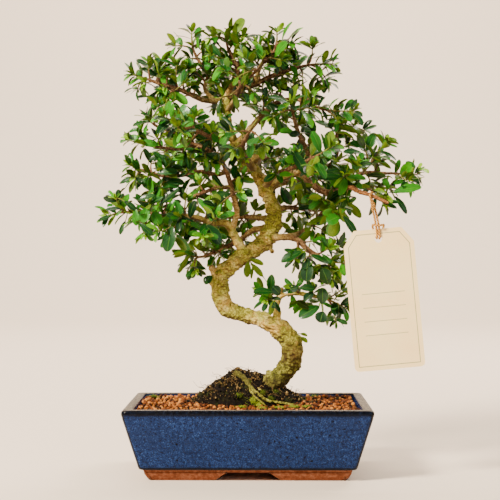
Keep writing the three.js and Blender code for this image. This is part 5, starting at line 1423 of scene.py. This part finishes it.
# Tag and twine
def make_twine():
    """Two-ply twine: a tube whose section has two lobes that turn once in each 4.5 mm."""
    path = route(TWINE_ROUTE, 620)
    line = path[:, :3]
    distance = np.concatenate([[0], np.cumsum(np.linalg.norm(np.diff(line, axis=0), axis=1))])
    tangent, normal, across = frames(line)
    angle = np.linspace(0, 2 * math.pi, 12, endpoint=False)
    twist = angle[None] - distance[:, None] * 2 * math.pi / 4.5
    radius = TWINE_DIAMETER / 2 * (0.83 + 0.17 * np.abs(np.cos(twist)) ** 0.8)
    out = normal[:, None] * np.cos(angle)[None, :, None] + across[:, None] * np.sin(angle)[None, :, None]
    rings = line[:, None] + out * radius[..., None]
    points = np.vstack([rings.reshape(-1, 3), line[:1], line[-1:]])
    along = np.append(np.repeat(distance, 12), (0, distance[-1])) / 10
    around = np.append(np.tile(np.arange(12) / 12, len(line)), (0, 0))
    jute = twine_finish()
    twine = piece("twine", [(points, tube_faces(len(line), 12), {}, np.column_stack([along, around]))], jute,
        ["tag_twine"], mapped="twist")
    turn = np.linspace(0.15, 2 * math.pi + 0.05, 140)
    knot = np.column_stack([np.sin(turn) + 2 * np.sin(2 * turn), 0.8 * (np.cos(turn) - 2 * np.cos(2 * turn)),
        -0.9 * np.sin(3 * turn)]) * 0.45 + (100.2, -57.3, 223.9)
    bead, faces, _, _ = limb(np.column_stack([knot, np.full(140, 0.55)]), 300, 10, rounded=False)
    uv = np.column_stack([np.append(np.repeat(np.arange(301) / 30, 10), (0, 10)),
        np.append(np.tile(np.arange(10) / 10, 301), (0, 0))])
    knotted = piece("twine_bead", [(bead, faces, {}, uv)], jute, ["twine_knot"], mapped="twist")


def dress(node, finish):
    """Gives a solid of the frame its finish and leaves its shape as it is."""
    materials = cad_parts[node].data.materials
    materials.clear()
    materials.append(finish)


make_twine()
make_pot()
make_wood()
make_foliage()
make_mound()
make_granules()
make_moss()
dress("hang_tag", card_finish())
plastic = screen_finish()
dress("drain_screen_left", plastic)
dress("drain_screen_right", plastic)


# Floor and light
def make_stage():
    """A pale floor that sweeps up into a backdrop: a quarter circle between a level and an upright sheet."""
    turn = np.linspace(0, math.pi / 2, 24)
    bend_y = np.concatenate([[-4.0], 2.2 + 1.2 * np.sin(turn), [3.4]])
    bend_z = np.concatenate([[0.0], 1.2 - 1.2 * np.cos(turn), [5.0]])
    x = np.array([-6.0, 6.0])
    grid = np.stack([np.broadcast_to(x[None], (26, 2)), np.repeat(bend_y[:, None], 2, 1),
        np.repeat(bend_z[:, None], 2, 1)], -1)
    mesh = bpy.data.meshes.new("backdrop")
    mesh.from_pydata(grid.reshape(-1, 3).tolist(), [], grid_faces(26, 2, around=False)[:, ::-1].tolist())
    mesh.polygons.foreach_set("use_smooth", np.ones(len(mesh.polygons), bool))
    sheet = bpy.data.objects.new("backdrop", mesh)
    bpy.context.scene.collection.objects.link(sheet)
    paper = Finish("backdrop_paper", Specular_IOR_Level=0.1)
    mesh.materials.append(paper.done(Base_Color="#ecddcb", Roughness=0.9))


def softbox(name, place, aim, size, power, colour):
    """A square light that faces the object."""
    light = bpy.data.lights.new(name, "AREA")
    light.shape = "RECTANGLE"
    light.size, light.size_y = size
    light.energy = power
    light.color = paint(colour)[:3]
    lamp = bpy.data.objects.new(name, light)
    way = np.array(aim) - np.array(place)
    flat = math.hypot(way[0], way[1])
    lamp.location = place
    lamp.rotation_euler = (math.atan2(flat, -way[2]), 0, math.atan2(-way[0], way[1]))
    bpy.context.scene.collection.objects.link(lamp)


make_stage()
softbox("key", (-1.0, -1.0, 1.15), (0, 0, 0.2), (0.4, 0.4), 92, "#fff0da")
softbox("fill", (1.3, -1.2, 0.6), (0, 0, 0.2), (1.2, 1.0), 6, "#eef3ff")
softbox("back", (0.9, 1.0, 1.3), (0, 0, 0.25), (0.6, 0.6), 18, "#fff6ea")
softbox("backdrop_light", (0, 0.9, 2.6), (0, 3.2, 0.9), (3.0, 0.8), 245, "#fff1e2")
world = bpy.data.worlds.new("studio")
world.use_nodes = True
world.node_tree.nodes["Background"].inputs[0].default_value = paint("#f6f1ea")
world.node_tree.nodes["Background"].inputs[1].default_value = 0.28
bpy.context.scene.world = world
